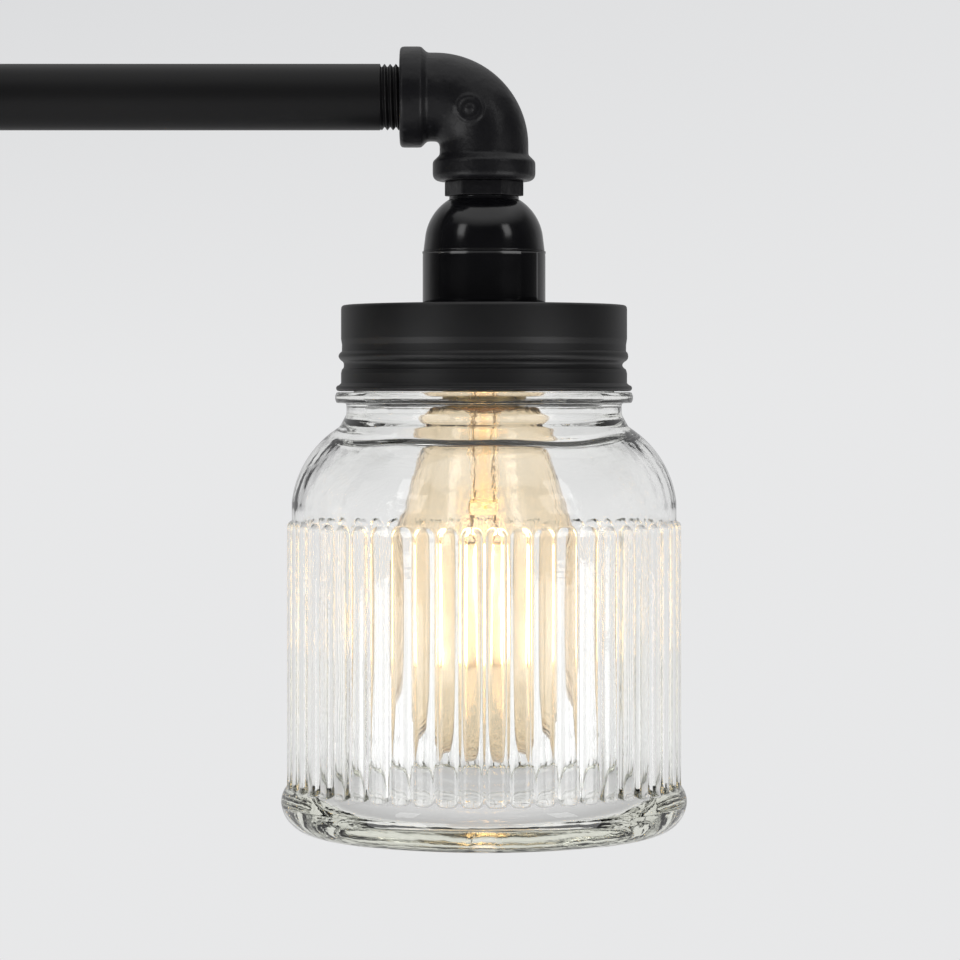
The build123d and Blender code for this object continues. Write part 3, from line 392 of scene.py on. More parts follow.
def arc(start, middle, end, count):
    """Points on the circle through three points, from the start to the end, in millimetres."""
    (ax, ay), (bx, by), (cx, cy) = start, middle, end
    cross = 2 * (ax * (by - cy) + bx * (cy - ay) + cx * (ay - by))
    a2, b2, c2 = ax**2 + ay**2, bx**2 + by**2, cx**2 + cy**2
    ux = (a2 * (by - cy) + b2 * (cy - ay) + c2 * (ay - by)) / cross
    uy = (a2 * (cx - bx) + b2 * (ax - cx) + c2 * (bx - ax)) / cross
    radius = math.hypot(ax - ux, ay - uy)
    first = math.atan2(ay - uy, ax - ux)
    sweep = (math.atan2(cy - uy, cx - ux) - first) % (2 * math.pi)
    passed = (math.atan2(by - uy, bx - ux) - first) % (2 * math.pi)
    if passed > sweep:
        sweep -= 2 * math.pi
    turns = first + sweep * np.linspace(0, 1, count)
    return [(ux + radius * math.cos(t), uy + radius * math.sin(t)) for t in turns]


def eased(*corners, steps=5):
    """A closed outline of (radius, height, rounding) corners, each with its edge broken."""
    line = []
    for i, (x, y, *ease) in enumerate(corners):
        ease = ease[0] if ease else 0
        here = np.array([x, y], float)
        before = np.array(corners[i - 1][:2], float) - here
        after = np.array(corners[(i + 1) % len(corners)][:2], float) - here
        lengths = np.linalg.norm(before), np.linalg.norm(after)
        if not ease or min(lengths) < 1e-6:
            line.append((x, y))
            continue
        before, after = before / lengths[0], after / lengths[1]
        half = math.acos(np.clip(before @ after, -1, 1)) / 2
        if half > math.pi / 2 - 0.02:
            line.append((x, y))
            continue
        reach = min(ease / math.tan(half), 0.48 * lengths[0], 0.48 * lengths[1])
        for t in np.linspace(0, 1, steps):
            bent = (1 - t) ** 2 * (here + reach * before) + 2 * t * (1 - t) * here
            line.append(tuple(bent + t**2 * (here + reach * after)))
    return line


def turned(name, line, around=160, shape=None, sharp=38):
    """A piece turned round the right lamp's axis from its closed outline in millimetres."""
    angle = np.arange(around) * 2 * math.pi / around
    rings = []
    for radius, height in line:
        wide = np.full(around, float(radius))
        if shape is not None:
            wide = shape(wide, height, angle)
        rings.append(
            np.stack([lamp_x + wide * np.cos(angle), wide * np.sin(angle), np.full(around, height)], 1)
        )
    return surface_piece(name, rings, closed=True, sharp=sharp)


phenolic = Finish(bpy.data.materials.new("polished_phenolic"))
haze = phenolic.mottle(14, 4)
ripple = phenolic.mottle(9, 2)
phenolic.coat(
    Base_Color=phenolic.shade(haze, (0.3, (0.0022, 0.0022, 0.0028)), (0.7, (0.004, 0.004, 0.0048))),
    Roughness=haze * 0.10 + 0.10,
    Normal=phenolic.relief(ripple, 0.10, phenolic.relief(phenolic.mottle(0.8), 0.003)),
)
cap_eye = 5.1
cap_neck = 11.2
cap_wide = 19.45
cap_wall = 1.8
dome_end = holder_top - 12.7
dome_roof = holder_top - 8.0
dome = arc((cap_neck, holder_top - 1.0), (16.15, holder_top - 5.7), (18.85, dome_end), 22)
cap_line = eased(
    (cap_eye, holder_top),
    (cap_neck, holder_top, 0.35),
    *dome,
    (cap_wide, holder_seam, 0.25),
    (cap_wide - cap_wall, holder_seam),
    (18.85 - cap_wall, dome_end),
    (cap_neck - cap_wall, dome_roof),
    (cap_eye, dome_roof),
)
pair(turned("holder_dome", cap_line), "root", phenolic, "black_bakelite", "holder_cap")
skirt_low, skirt_top = (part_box("holder_skirt_right")[i].z / MM for i in (0, 1))
seam = skirt_top - 3.5
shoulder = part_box("jar_lid_right")[1].z / MM + 0.05
skirt_lip = 19.8
skirt_wide = 19.7
skirt_spigot = 16.85
skirt_bore = 15.0
grip_from = 303.0
grip_to = 329.0
grip_proud = 0.28


def grip_rib(wide, height, angle):
    """The low rib on the skirt's front right, with a soft edge at both ends."""
    if not shoulder + 0.6 < height < seam - 0.6:
        return wide
    across = np.degrees(angle) % 360
    inside = np.minimum(across - grip_from, grip_to - across)
    return np.where(wide > skirt_wide - 0.2, wide + grip_proud * np.clip(inside / 1.2, 0, 1), wide)


skirt_line = eased(
    (skirt_bore + 0.7, skirt_top),
    (skirt_spigot, skirt_top, 0.2),
    (skirt_spigot, seam),
    (skirt_lip, seam, 0.2),
    (skirt_lip, seam - 0.6, 0.15),
    (skirt_wide - 0.05, seam - 1.0),
    *[(skirt_wide, seam - 1.0 - 0.9 * k) for k in range(1, 17)],
    (skirt_wide, shoulder + 0.4),
    (skirt_wide - 0.1, shoulder, 0.15),
    (skirt_wide - 0.9, shoulder),
    (skirt_wide - 0.9, skirt_low, 0.3),
    (skirt_bore, skirt_low),
    (skirt_bore, seam - 10.5),
    (skirt_bore + 0.7, seam - 10.5),
)
skirt = turned("holder_sleeve", skirt_line, 240, grip_rib)
pair(skirt, "root", phenolic, "black_bakelite", "holder_skirt")

# Contacts of the holder: a glazed steatite carrier on the skirt's shelf, a screw shell pressed
# from brass strip and a bent bronze leaf under the carrier. They carry the bulb.
steatite = Finish(bpy.data.materials.new("glazed_steatite"))
craze = steatite.mottle(3, 5)
steatite.coat(
    Base_Color=steatite.shade(craze, (0.3, (0.66, 0.63, 0.57)), (0.7, (0.78, 0.76, 0.71))),
    Roughness=craze * 0.25 + 0.2,
    Normal=steatite.relief(craze, 0.03),
)
dress(steatite, *both("holder_insert"))
brass = Finish(bpy.data.materials.new("pressed_brass"))
tarnish = brass.mottle(4, 5)
drawn = brass.mottle(0.5, 2, (1, 1, 0.15))
brass.coat(
    Base_Color=brass.shade(tarnish, (0.25, (0.52, 0.35, 0.12)), (0.75, (0.80, 0.60, 0.27))),
    Metallic=1.0,
    Roughness=tarnish * 0.2 + drawn * 0.1 + 0.14,
    Normal=brass.relief(drawn, 0.01),
)
dress(brass, *both("socket_shell", "centre_contact", "bulb_cap"))
solder = Finish(bpy.data.materials.new("soft_solder"))
dimple = solder.mottle(1.5, 3)
solder.coat(
    Base_Color=solder.shade(dimple, (0.3, (0.36, 0.36, 0.37)), (0.7, (0.56, 0.56, 0.56))),
    Metallic=1.0,
    Roughness=dimple * 0.3 + 0.25,
    Normal=solder.relief(dimple, 0.15),
)
dress(solder, *both("bulb_contact"))

# Lids: thin steel, pressed and rolled, sprayed a deep satin black. A raised step fits round the
# holder, a bead and a groove are rolled below, and the edge is hemmed. The ring nut clamps it.
lacquer = Finish(bpy.data.materials.new("lid_lacquer"))
fine = lacquer.mottle(0.35, 2)
shade = lacquer.mottle(26, 3)
rubbed = lacquer.wear(0.52, 0.60)
lacquer.coat(
    Base_Color=lacquer.shade(
        rubbed * 0.5 + shade * 0.4, (0.1, (0.0040, 0.0040, 0.0045)), (0.9, (0.014, 0.0135, 0.0135))
    ),
    Roughness=shade * 0.1 + 0.38,
    Specular_IOR_Level=0.38,
    Normal=lacquer.relief(fine, 0.012),
)
lid_low, lid_high = (corner.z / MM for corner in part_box("jar_lid_right"))
lid_face = lid_high - 0.7
bead = lid_face - 16.3
groove = lid_face - 19.2
lid_sheet = 0.8
lid_eye = 19.1
lid_wall = 45.85
lid_inner = lid_wall - lid_sheet
lid_waist = lid_wall - 0.3
lid_hem = 47.45
jar_pitch = 6.35


def rolled(wide, height, angle):
    """The bead stands a little prouder on the left and the groove is deeper on the right."""
    side = np.cos(angle - 0.1)
    near_bead = math.exp(-(((height - bead) / 1.1) ** 2))
    near_groove = math.exp(-(((height - groove) / 1.0) ** 2))
    skin = np.where(wide > lid_inner - 0.6, 1.0, 0.0)
    return wide + skin * (near_bead * (0.1 - 0.22 * side) - near_groove * (0.1 + 0.3 * side))


lid_line = eased(
    (lid_eye, lid_high),
    (22.0, lid_high, 0.4),
    (23.0, lid_face, 0.5),
    (lid_wall, lid_face, 1.3),
    (lid_wall, bead + 5.5, 3.0),
    (lid_waist, bead + 3.6, 2.0),
    *arc((lid_waist, bead + 1.5), (lid_waist + 0.8, bead), (lid_waist, bead - 1.6), 9),
    *arc((lid_waist, bead - 1.6), (lid_waist - 0.8, groove), (lid_waist, groove - 1.4), 9)[1:],
    (lid_wall, groove - 2.6, 0.8),
    (lid_wall, lid_low + 2.6, 0.4),
    (lid_hem - 0.95, lid_low + 2.0, 0.3),
    *arc((lid_hem - 0.9, lid_low + 1.95), (lid_hem, lid_low + 1.0), (lid_hem - 0.9, lid_low + 0.05), 9),
    (lid_inner, lid_low, 0.3),
    (lid_inner, lid_low + 2.0),
    (lid_inner - 0.9, lid_low + 3.0, 0.5),
    (lid_inner - 0.9, lid_face - 12.0, 0.5),
    (lid_inner, lid_face - 11.0),
    (lid_inner, lid_face - lid_sheet, 0.8),
    (23.3, lid_face - lid_sheet),
    (22.3, lid_high - lid_sheet),
    (lid_eye, lid_high - lid_sheet),
)


def thread_bar(name, start, turns, pitch, wall, reach, foot, tip):
    """A screw thread as its own bar: a four-sided section wound round the right lamp's axis."""
    rings = []
    for t in np.linspace(0, turns, int(turns * 96)):
        fade = min(1, t / 0.06, (turns - t) / 0.06)
        turn = t * 2 * math.pi
        ring = []
        for side, half in ((0, -foot), (1, -tip), (1, tip), (0, foot)):
            wide = wall + side * reach * max(fade, 0.02)
            rise = start + t * pitch + half / 2 * max(fade, 0.3)
            ring.append((lamp_x + wide * math.cos(turn), wide * math.sin(turn), rise))
        rings.append(np.array(ring))
    return surface_piece(name, rings, sharp=30)


pair(turned("lid_pressing", lid_line, 288, rolled), "root", lacquer, "black_lid", "jar_lid")
thread_low = 4.2
thread_turns = 1.6
thread_wall = lid_inner - 0.8
lid_thread = thread_bar(
    "lid_thread", lid_low + thread_low, thread_turns, jar_pitch, thread_wall, -1.9, 2.0, 1.1
)
pair(lid_thread, "root", lacquer, "black_lid")
dress(lacquer, *both("lid_ring"))

# Seals: a flat ring cut from clear silicone sheet. It lies on the jar's rim, and the lid presses
# on it when the jar is screwed up.
silicone = Finish(bpy.data.materials.new("silicone_sheet"))
milk = silicone.mottle(6, 3)
silicone.coat(
    Base_Color=silicone.shade(milk, (0.3, (0.66, 0.67, 0.66)), (0.7, (0.76, 0.77, 0.76))),
    Roughness=milk * 0.2 + 0.4,
    Transmission_Weight=0.3,
    Normal=silicone.relief(silicone.mottle(0.8), 0.02),
)
dress(silicone, *both("jar_seal"))

# Jars: soda glass pressed in a mould, with a screw mouth under the lid, a round shoulder, a ring
# of upright ribs with round tops, and a foot that bulges and stands on a flat ring.
jar_low, jar_high = (corner.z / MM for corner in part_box("jar_right"))
hem = lid_low
jar_bore = 38.55
jar_mouth = 41.75
jar_bead = 47.75
jar_neck = 44.1
shoulder_start = 46.3
jar_wall = 61.6
jar_inside = 58.5
foot_wide = 65.0
foot = jar_low + 9.4
foot_round = 7.8
foot_entry = 4.4
sole_edge = 54.0
stand_rise = 1.2
bead_top = hem - 0.3
rib_count = 52
rib_proud = 1.5
rib_pitch = 2 * math.pi / rib_count
rib_path = 62.35
rib_half = 0.88 * math.pi * rib_path / rib_count
rib_end = hem - 41.3 - rib_half
rib_marks = (-1, -0.94, -0.88, -0.8, -0.7, -0.55, -0.3, 0, 0.3, 0.55, 0.7, 0.8, 0.88, 0.94)


def ribbed(wide, height, angle):
    """The mould's ribs: flat-crowned bars with round ends that stand out of the wall."""
    across = (angle % rib_pitch - rib_pitch / 2) * rib_path
    above = max(0.0, height - rib_end)
    off = np.hypot(across, above) / rib_half
    return np.maximum(wide, jar_wall + rib_proud * (1 - np.clip(off, 0, 1) ** 5))


def mouth_thread(wide, height, angle):
    """The raised thread round the mouth, one bar that winds up under the rim."""
    start = hem + thread_low + jar_pitch / 2
    best = np.zeros_like(wide)
    for lap in (0, 1):
        turn = angle / (2 * math.pi) + lap
        off = np.abs(height - (start + turn * jar_pitch))
        ramp = np.clip(np.minimum(turn, thread_turns - turn) / 0.06, 0, 1)
        best = np.maximum(best, ramp * np.clip((1.15 - off) / 0.55, 0, 1))
    return np.where(wide > jar_mouth - 0.15, wide + 1.85 * best, wide)


def plain(wide, height, angle):
    """A stretch that is round all the way."""
    return wide


def bead_and_neck():
    """The square bead below the lid, the neck, and the hollow where the shoulder starts."""
    return eased(
        (jar_mouth, bead_top + 0.4),
        (jar_mouth, bead_top, 0.3),
        (jar_bead - 0.45, bead_top, 0.5),
        (jar_bead, bead_top - 1.2, 1.2),
        (jar_bead, bead_top - 2.3, 1.2),
        (jar_bead - 0.45, bead_top - 3.4, 0.5),
        (jar_neck + 0.2, bead_top - 3.55, 0.6),
        (jar_neck, bead_top - 4.5, 0.6),
        (jar_neck, bead_top - 7.0, 2.2),
        (shoulder_start, hem - 11.4, 2.2),
        (shoulder_start + 2.2, hem - 12.55),
        steps=4,
    )[:-1]


def jar_outside():
    """Stretches of the jar's outside, from the mouth down: points, their shape and spacing."""
    rim = (jar_mouth - 1.5, jar_high)
    mouth = [(jar_bore, jar_high), rim]
    mouth += arc(rim, (jar_mouth - 0.4, jar_high - 0.45), (jar_mouth, jar_high - 1.5), 5)[1:]
    mouth += [(jar_mouth, z) for z in np.arange(jar_high - 2.1, hem + 0.4, -0.95)]
    round_shoulder = arc((shoulder_start, hem - 11.4), (56.2, hem - 20.8), (jar_wall, hem - 35.4), 26)
    wall = [(jar_wall, z) for z in np.arange(rib_end + rib_half + 0.3, rib_end - 0.6, -0.28)]
    foot_start = foot + math.sqrt(foot_round**2 - foot_entry**2)
    wall += [(jar_wall, z) for z in np.linspace(rib_end - 2, foot + 9, 9)]
    heel = (foot_wide - foot_round * (1 - math.sqrt(0.75)), foot + foot_round / 2)
    wall += arc((jar_wall, foot_start), heel, (foot_wide, foot), 22)
    sole = arc((foot_wide, foot), (62.2, jar_low + 3.2), (sole_edge, jar_low), 20)[1:]
    sole += [(53.0, jar_low), (48.0, jar_low), (43.0, jar_low), (42.0, jar_low + 0.05)]
    sole += [(40.0, jar_low + 0.6), (38.0, jar_low + 1.15), (36.0, jar_low + stand_rise)]
    middle = [(wide, jar_low + stand_rise) for wide in (24.0, 12.0, 4.0)]
    return (
        (mouth, mouth_thread, 2),
        (bead_and_neck() + round_shoulder[2:], plain, 2),
        (wall, ribbed, 1),
        (sole, plain, 2),
        (middle, plain, 14),
    )


def jar_inside_line():
    """The smooth inside, up from the middle of the floor to the rim."""
    floor = foot - 1.9
    corner = arc((49.5, floor + 0.1), (55.86, floor + 2.74), (jar_inside, floor + 9.1), 14)
    shoulder = arc((jar_inside, hem - 38.0), (53.6, hem - 25.0), (43.6, hem - 16.0), 36)
    return eased(
        (4.0, floor),
        (12.0, floor),
        (24.0, floor + 0.03),
        (36.0, floor + 0.1),
        *corner,
        *[(jar_inside, z) for z in np.linspace(floor + 12, hem - 41, 13)],
        *shoulder,
        (jar_bore, hem - 10.8, 3.0),
        (jar_bore, hem + 2),
        (jar_bore, jar_high - 6),
        steps=4,
    )


def plunger_marks(wide, height, angle):
    """Slow waves in the wall, and the uneven ridge where the plunger's shoulder ended."""
    wave = 0.10 * np.sin(3 * angle + height / 23) + 0.07 * np.sin(7 * angle - height / 9)
    wander = 0.5 * np.sin(angle + 2.0) + 0.4 * np.sin(3 * angle + 1.1) + 0.2 * np.sin(8 * angle)
    swell = 0.45 - 0.3 * np.sin(angle - 0.6) + 0.3 * np.sin(5 * angle + 0.4)
    ridge = np.exp(-(((height - (hem - 17.2) - wander) / 0.75) ** 2)) * np.clip(swell, 0.0, 1.0)
    skin = wide + (wave if wide > 45 else 0) - (0.75 * ridge if wide > 39 else 0)
    return skin, height - 0.75 * ridge


def jar_rings():
    """Rings of points down the outside of the jar, then up its inside."""
    every = np.array([(k + 0.5 + 0.5 * s) * rib_pitch for k in range(rib_count) for s in rib_marks])
    rings = []
    for line, shape, spacing in jar_outside():
        angle = every[::spacing]
        for wide, height in line:
            rings.append((shape(np.full(len(angle), float(wide)), height, angle), height, angle))
    for wide, height in jar_inside_line():
        angle = every[:: 14 if wide < 30 else 2]
        skin, level = plunger_marks(wide, height, angle)
        rings.append((skin + np.zeros(len(angle)), level, angle))
    return [
        np.stack([lamp_x + r * np.cos(a), r * np.sin(a), np.zeros(len(r)) + z], 1)
        for r, z, a in rings
    ]


def lets_lamps_through(finish, glass, tint):
    """Shadows fall through the glass almost unchanged, with a trace of its tint."""
    ray = finish.node("ShaderNodeLightPath", out="Is Shadow Ray")
    clear = finish.node("ShaderNodeBsdfTransparent", {}, {"Color": (*tint, 1)})
    return finish.node("ShaderNodeMixShader", {}, {0: ray, 1: glass, 2: clear})


soda_glass = Finish(bpy.data.materials.new("pressed_glass"))
cords = soda_glass.mottle(16, 2, (1, 1, 0.5))
seeds = soda_glass.mottle(2.2, 2)
clear_glass = soda_glass.node(
    "ShaderNodeBsdfPrincipled",
    {},
    {
        "Base Color": soda_glass.shade(cords, (0.3, (0.99, 0.993, 0.99)), (0.7, (0.998, 1.0, 0.997))),
        "Roughness": 0.0,
        "IOR": 1.5,
        "Transmission Weight": 1.0,
        "Normal": soda_glass.relief(cords, 0.25, soda_glass.relief(seeds, 0.012)),
    },
)
soda_glass.finish_with(
    lets_lamps_through(soda_glass, clear_glass, (0.96, 0.965, 0.96)), (0.71, 0.73, 0.52), 5.0
)
jar = surface_piece("glass_jar", jar_rings(), closed=True, sharp=70)
pair(jar, "jar", soda_glass, "jar_glass", "jar")

# Bulbs: a long pear blown from amber-tinted glass and cemented in its brass cap. A glass tube is
# sealed in its neck, with a fine exhaust tube and two nickel wires inside it.
cap_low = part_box("bulb_cap_right")[0].z / MM
bulb_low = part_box("bulb_envelope_right")[0].z / MM
neck_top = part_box("bulb_envelope_right")[1].z / MM
glass_length = cap_low - bulb_low
glass_wall = 0.8
bulb_wide = 32
tip_wide = 17.5
tip_rise = 6.95
form = ((0.012, 0.541), (0.082, 0.638), (0.237, 0.788), (0.432, 0.944), (0.587, 1.0), (0.786, 0.903))


def blown_line(inset, count):
    """The bulb's outline from its shoulder to the tip, through the points it was blown to."""
    length = glass_length - 2 * inset
    marks = [(bulb_wide * share - inset, cap_low - inset - down * length) for down, share in form]
    marks += [(tip_wide - inset, bulb_low + tip_rise + inset), (0.02, bulb_low + inset)]
    points = [np.array(m) for m in marks]
    before = points[0] + (points[0] - points[1]) * 0.6 + np.array([-1.2, 0.3])
    after = np.array([-points[-2][0], points[-2][1]])
    points = [before, *points, after]
    line = []
    for a, b, c, d in zip(points, points[1:], points[2:], points[3:]):
        knots = [0.0]
        for p, q in ((a, b), (b, c), (c, d)):
            knots.append(knots[-1] + np.linalg.norm(q - p) ** 0.5)
        t0, t1, t2, t3 = knots
        for t in np.linspace(t1, t2, count, endpoint=False):
            a1 = (t1 - t) / (t1 - t0) * a + (t - t0) / (t1 - t0) * b
            a2 = (t2 - t) / (t2 - t1) * b + (t - t1) / (t2 - t1) * c
            a3 = (t3 - t) / (t3 - t2) * c + (t - t2) / (t3 - t2) * d
            b1 = (t2 - t) / (t2 - t0) * a1 + (t - t0) / (t2 - t0) * a2
            b2 = (t3 - t) / (t3 - t1) * a2 + (t - t1) / (t3 - t1) * a3
            line.append(tuple((t2 - t) / (t2 - t1) * b1 + (t - t1) / (t2 - t1) * b2))
    return line + [tuple(points[-2])]


neck = 11.25
neck_inside = neck - glass_wall
bulb_line = (
    [(neck_inside, neck_top), (neck, neck_top), (neck, cap_low + 0.4), (neck + 0.2, cap_low - 0.1)]
    + [(neck + 1.2, cap_low - 0.12), (15.4, cap_low - 0.5), (16.6, cap_low - 0.9)]
    + blown_line(0, 9)
    + blown_line(glass_wall, 9)[::-1]
    + [(15.6, cap_low - 1.7), (14.2, cap_low - 1.1), (neck - 0.4, cap_low - 0.85)]
    + [(neck_inside, cap_low - 0.5)]
)
amber = Finish(bpy.data.materials.new("amber_bulb_glass"))
streak = amber.mottle(22, 2, (1, 1, 0.4))
drawn_lines = amber.mottle(2.6, 2, (1, 1, 0.05))
misted_from = -0.298
misted_full = -0.318
misted_low = -0.346
misted_to = -0.372
below_stem = amber.ramp(amber.height(), misted_from, misted_full)
above_tip = amber.ramp(amber.height(), misted_to, misted_low)
tinted = amber.node(
    "ShaderNodeBsdfPrincipled",
    {},
    {
        "Base Color": amber.shade(streak, (0.3, (0.985, 0.975, 0.955)), (0.7, (1.0, 0.995, 0.985))),
        "Roughness": below_stem * above_tip * 0.2,
        "IOR": 1.5,
        "Transmission Weight": 1.0,
        "Normal": amber.relief(streak, 0.25, amber.relief(drawn_lines, 0.16)),
    },
)
amber.finish_with(
    lets_lamps_through(amber, tinted, (0.98, 0.95, 0.88)), (0.976, 0.66, 0.05), 230.0
)
pair(turned("bulb_glass", bulb_line, 160, sharp=60), "bulb", amber, "bulb_glass", "bulb_envelope")
stem_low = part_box("bulb_stem_right")[0].z / MM
painted_glow_reach = 29.5
# The stem glass carries a painted glow: a warm emission, strongest at its lower end by the filaments,
# that stands in for their light carried up the stem.
stem_glass = Finish(bpy.data.materials.new("stem_glass"))
pinch = stem_glass.mottle(3, 3)
painted_glow_end = stem_glass.ramp(stem_glass.height(), (stem_low + painted_glow_reach) * MM, stem_low * MM)
stem_glass_and_painted_glow = stem_glass.node(
    "ShaderNodeBsdfPrincipled",
    {},
    {
        "Base Color": stem_glass.shade(pinch, (0.3, (0.995, 0.95, 0.86)), (0.7, (1.0, 0.975, 0.93))),
        "Roughness": 0.02,
        "IOR": 1.5,
        "Transmission Weight": 1.0,
        # Painted glow: the emission colour brightens down the stem towards the filaments.
        "Emission Color": stem_glass.shade(
            painted_glow_end, (0.0, (0.03, 0.014, 0.004)), (0.8, (0.12, 0.07, 0.02)), (1.0, (0.7, 0.47, 0.15))
        ),
        "Emission Strength": 0.5,
        "Normal": stem_glass.relief(pinch, 0.12),
    },
)
stem_glass.finish_with(lets_lamps_through(stem_glass, stem_glass_and_painted_glow, (0.98, 0.95, 0.9)))
stem_glass.owner.cycles.emission_sampling = "NONE"
stem_wide = 4.7
stem_bore = 3.9
flare_wide = 10.2
flare_bore = 9.3
flare_low = neck_top - 8.0
stem_line = eased(
    (flare_wide, neck_top - 0.2),
    (flare_wide, neck_top - 1.0, 0.6),
    (stem_wide, flare_low, 2.5),
    (stem_wide, stem_low + 4.0, 2.0),
    (stem_wide - 0.5, stem_low, 0.8),
    (0.05, stem_low),
    (0.05, stem_low + 3.6),
    (stem_bore - 0.5, stem_low + 4.6, 0.6),
    (stem_bore, stem_low + 6.0, 0.6),
    (stem_bore, flare_low - 0.4, 2.0),
    (flare_bore, neck_top - 0.8),
    (flare_bore, neck_top - 0.2),
)
pair(turned("stem_tube", stem_line, 64), "bulb", stem_glass, "stem_glass", "bulb_stem")


def rod(name, start, end, radius, around=12):
    """A straight wire or tube between two points beside the right lamp's axis, in millimetres."""
    angle = np.arange(around) * 2 * math.pi / around
    rings = []
    for x, y, z in (start, end):
        flat = [lamp_x + x + radius * np.cos(angle), y + radius * np.sin(angle)]
        rings.append(np.stack([*flat, np.full(around, float(z))], 1))
    return surface_piece(name, rings, sharp=50)


exhaust_radius = 1.3
exhaust_ends = (0, 0, neck_top - 2.0), (0, 0, stem_low + 5.4)
exhaust = rod("stem_core", *exhaust_ends, exhaust_radius, 32)
pair(exhaust, "bulb", stem_glass, "stem_glass")
nickel = Finish(bpy.data.materials.new("nickel_wire"))
drawn = nickel.mottle(0.6, 3)
nickel.coat(
    Base_Color=nickel.shade(drawn, (0.3, (0.20, 0.16, 0.12)), (0.7, (0.34, 0.28, 0.22))),
    Metallic=1.0,
    Roughness=drawn * 0.2 + 0.3,
)
dress(nickel, *both("bulb_leads"))
wire_radius = 0.33
for side, wire_name in ((-1, "sealed_wire_a"), (1, "sealed_wire_b")):
    wire_ends = (side * 2.9, 0, neck_top - 3.0), (side * 3.5, 0, stem_low - 0.1)
    pair(rod(wire_name, *wire_ends, wire_radius), "bulb", nickel, "nickel_wire")

# Filaments: four straight sticks coated with yellow phosphor, lit. Their glow is warm white at
# the core, and only what a camera or the glass sees of them is bright, not what falls on walls.
glow = Finish(bpy.data.materials.new("lit_filament"))
path = glow.node("ShaderNodeLightPath", out="Is Diffuse Ray")
grains = glow.mottle(0.9, 2)
heat = glow.node(
    "ShaderNodeMix",
    {"data_type": "RGBA"},
    {"Factor": path, "A": (1.0, 0.66, 0.32, 1), "B": (0.06, 0.04, 0.02, 1)},
    "Result",
)
glow.coat(
    Base_Color=glow.shade(grains, (0.3, (0.75, 0.55, 0.15)), (0.7, (0.9, 0.7, 0.25))),
    Roughness=0.6,
    Emission_Color=heat,
    Emission_Strength=12.0,
)
glow.owner.cycles.emission_sampling = "NONE"
dress(glow, *both("bulb_filaments"))

# Studio: a pale floor well below the light, a pale backdrop behind it and a dimmer front, a wide
# soft lamp overhead, a low one and a small high one at each side, and the photograph's camera.
scene = bpy.context.scene
scene.view_settings.view_transform = "Standard"
scene.cycles.max_bounces = 24
scene.cycles.transmission_bounces = 24
scene.cycles.glossy_bounces = 8
scene.cycles.transparent_max_bounces = 16

floor_depth = -1.5
paper_grey = (0.80, 0.80, 0.805, 1)
floor_radius = 6.5
bpy.ops.mesh.primitive_circle_add(
    vertices=96, radius=floor_radius, fill_type="NGON", location=(0, 0, floor_depth)
)
floor = bpy.context.object
floor.name = "studio_floor"
paper = Finish(bpy.data.materials.new("floor_paper"))
spot = paper.node("ShaderNodeTexCoord", out="Object")
reach = paper.node("ShaderNodeVectorMath", {"operation": "LENGTH"}, {0: spot}, "Value")
far = paper.ramp(reach, 1.6, 5.0)
matt = paper.node("ShaderNodeBsdfDiffuse", {}, {"Color": (0.84, 0.84, 0.845, 1)})
even = paper.node("ShaderNodeEmission", {}, {"Color": paper_grey, "Strength": 1.0})
paper.finish_with(paper.node("ShaderNodeMixShader", {}, {0: far, 1: matt, 2: even}))
floor.data.materials.append(paper.owner)

room = Finish(bpy.data.worlds.new("studio_room"))
scene.world = room.owner
way = room.node("ShaderNodeTexCoord", out="Generated")
x, y, z = (room.node("ShaderNodeSeparateXYZ", {}, {0: way}, k) for k in range(3))
rise = room.ramp(z, 0.0, 0.13)
wall = room.shade(rise * (0.87 - 2.2 * x), (0.0, (0.802, 0.805, 0.812)), (1.0, (0.72, 0.725, 0.735)))
behind = room.ramp(y, -0.2, 0.8)
dim = room.shade(
    behind,
    (0.0, (0.035, 0.035, 0.036)),
    (0.4, (0.09, 0.09, 0.09)),
    (0.62, (0.2, 0.2, 0.2)),
    (0.85, (0.45, 0.45, 0.455)),
)
overhead = room.ramp(z, 0.55, 0.82)
high = room.ramp(z, 0.40, 0.85)
gaze = {
    name: room.node("ShaderNodeLightPath", out=name)
    for name in ("Is Camera Ray", "Is Glossy Ray", "Is Transmission Ray")
}


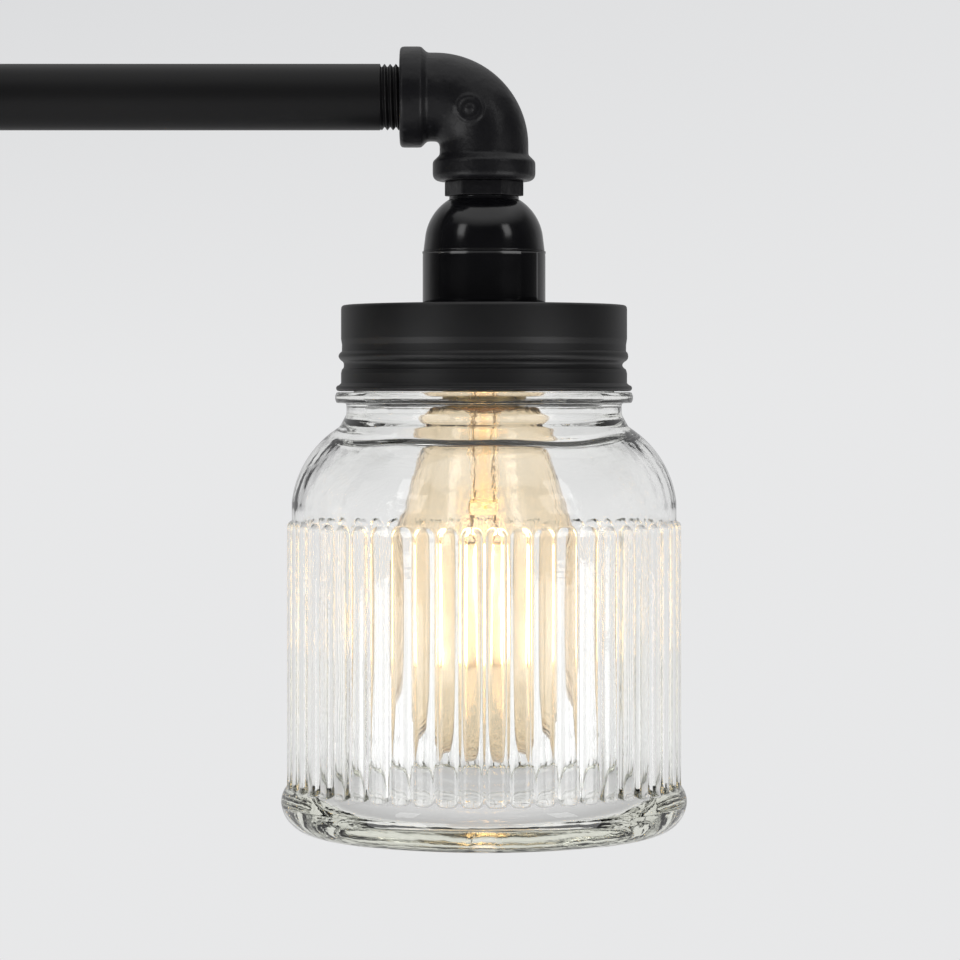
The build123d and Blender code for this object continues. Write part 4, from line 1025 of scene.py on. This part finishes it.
def chosen(mask, plain, instead):
    """The plain colour, or the other one where the mask is 1."""
    sockets = {"Factor": mask, "A": plain, "B": instead}
    return room.node("ShaderNodeMix", {"data_type": "RGBA"}, sockets, "Result")


mirrored = chosen(overhead, dim, (1.0, 1.0, 1.0, 1))
see_through = chosen(high, (0.82, 0.82, 0.83, 1), (0.42, 0.42, 0.40, 1))
seen = chosen(gaze["Is Glossy Ray"], (0.5, 0.5, 0.505, 1), mirrored)
seen = chosen(gaze["Is Transmission Ray"], seen, see_through)
seen = chosen(gaze["Is Camera Ray"], seen, wall)
room.node(
    "ShaderNodeOutputWorld",
    {},
    {"Surface": room.node("ShaderNodeBackground", {}, {"Color": seen, "Strength": 1.0})},
)


def soft_lamp(name, place, aim, size, watts):
    """A soft box at a place, turned to a point, both in metres."""
    lamp = bpy.data.lights.new(name, "AREA")
    lamp.shape = "RECTANGLE"
    lamp.size, lamp.size_y = size
    lamp.energy = watts
    stand = bpy.data.objects.new(name, lamp)
    scene.collection.objects.link(stand)
    stand.location = place
    heading = Matrix.Translation(place).to_translation() - Matrix.Translation(aim).to_translation()
    stand.rotation_euler = heading.to_track_quat("Z", "Y").to_euler()
    stand.visible_camera = False
    return stand


middle = (0, 0, -0.22)
low_size = (1.2, 1.0)
high_size = (0.45, 0.7)
overhead_lamp = soft_lamp("overhead_lamp", (0.2, -0.6, 1.5), middle, (2.2, 1.6), 15)
overhead_lamp.visible_glossy = False
soft_lamp("left_lamp", (-1.2, -1.2, -0.9), middle, low_size, 10)
soft_lamp("right_lamp", (1.7, -1.2, -0.9), middle, low_size, 10)
soft_lamp("left_window", (-1.03, -1.18, 0.64), middle, high_size, 2.5)
soft_lamp("right_window", (1.59, -1.18, 0.64), middle, high_size, 2.5)

camera = bpy.data.cameras.new("camera")
camera.lens = 130.2
camera.sensor_width = 36
camera.shift_y = -0.0927
camera.clip_end = 50
tripod = bpy.data.objects.new("camera", camera)
scene.collection.objects.link(tripod)
tripod.location = (0.2787, -1.114, -0.2593)
tripod.rotation_euler = (math.pi / 2, 0, 0)
scene.camera = tripod
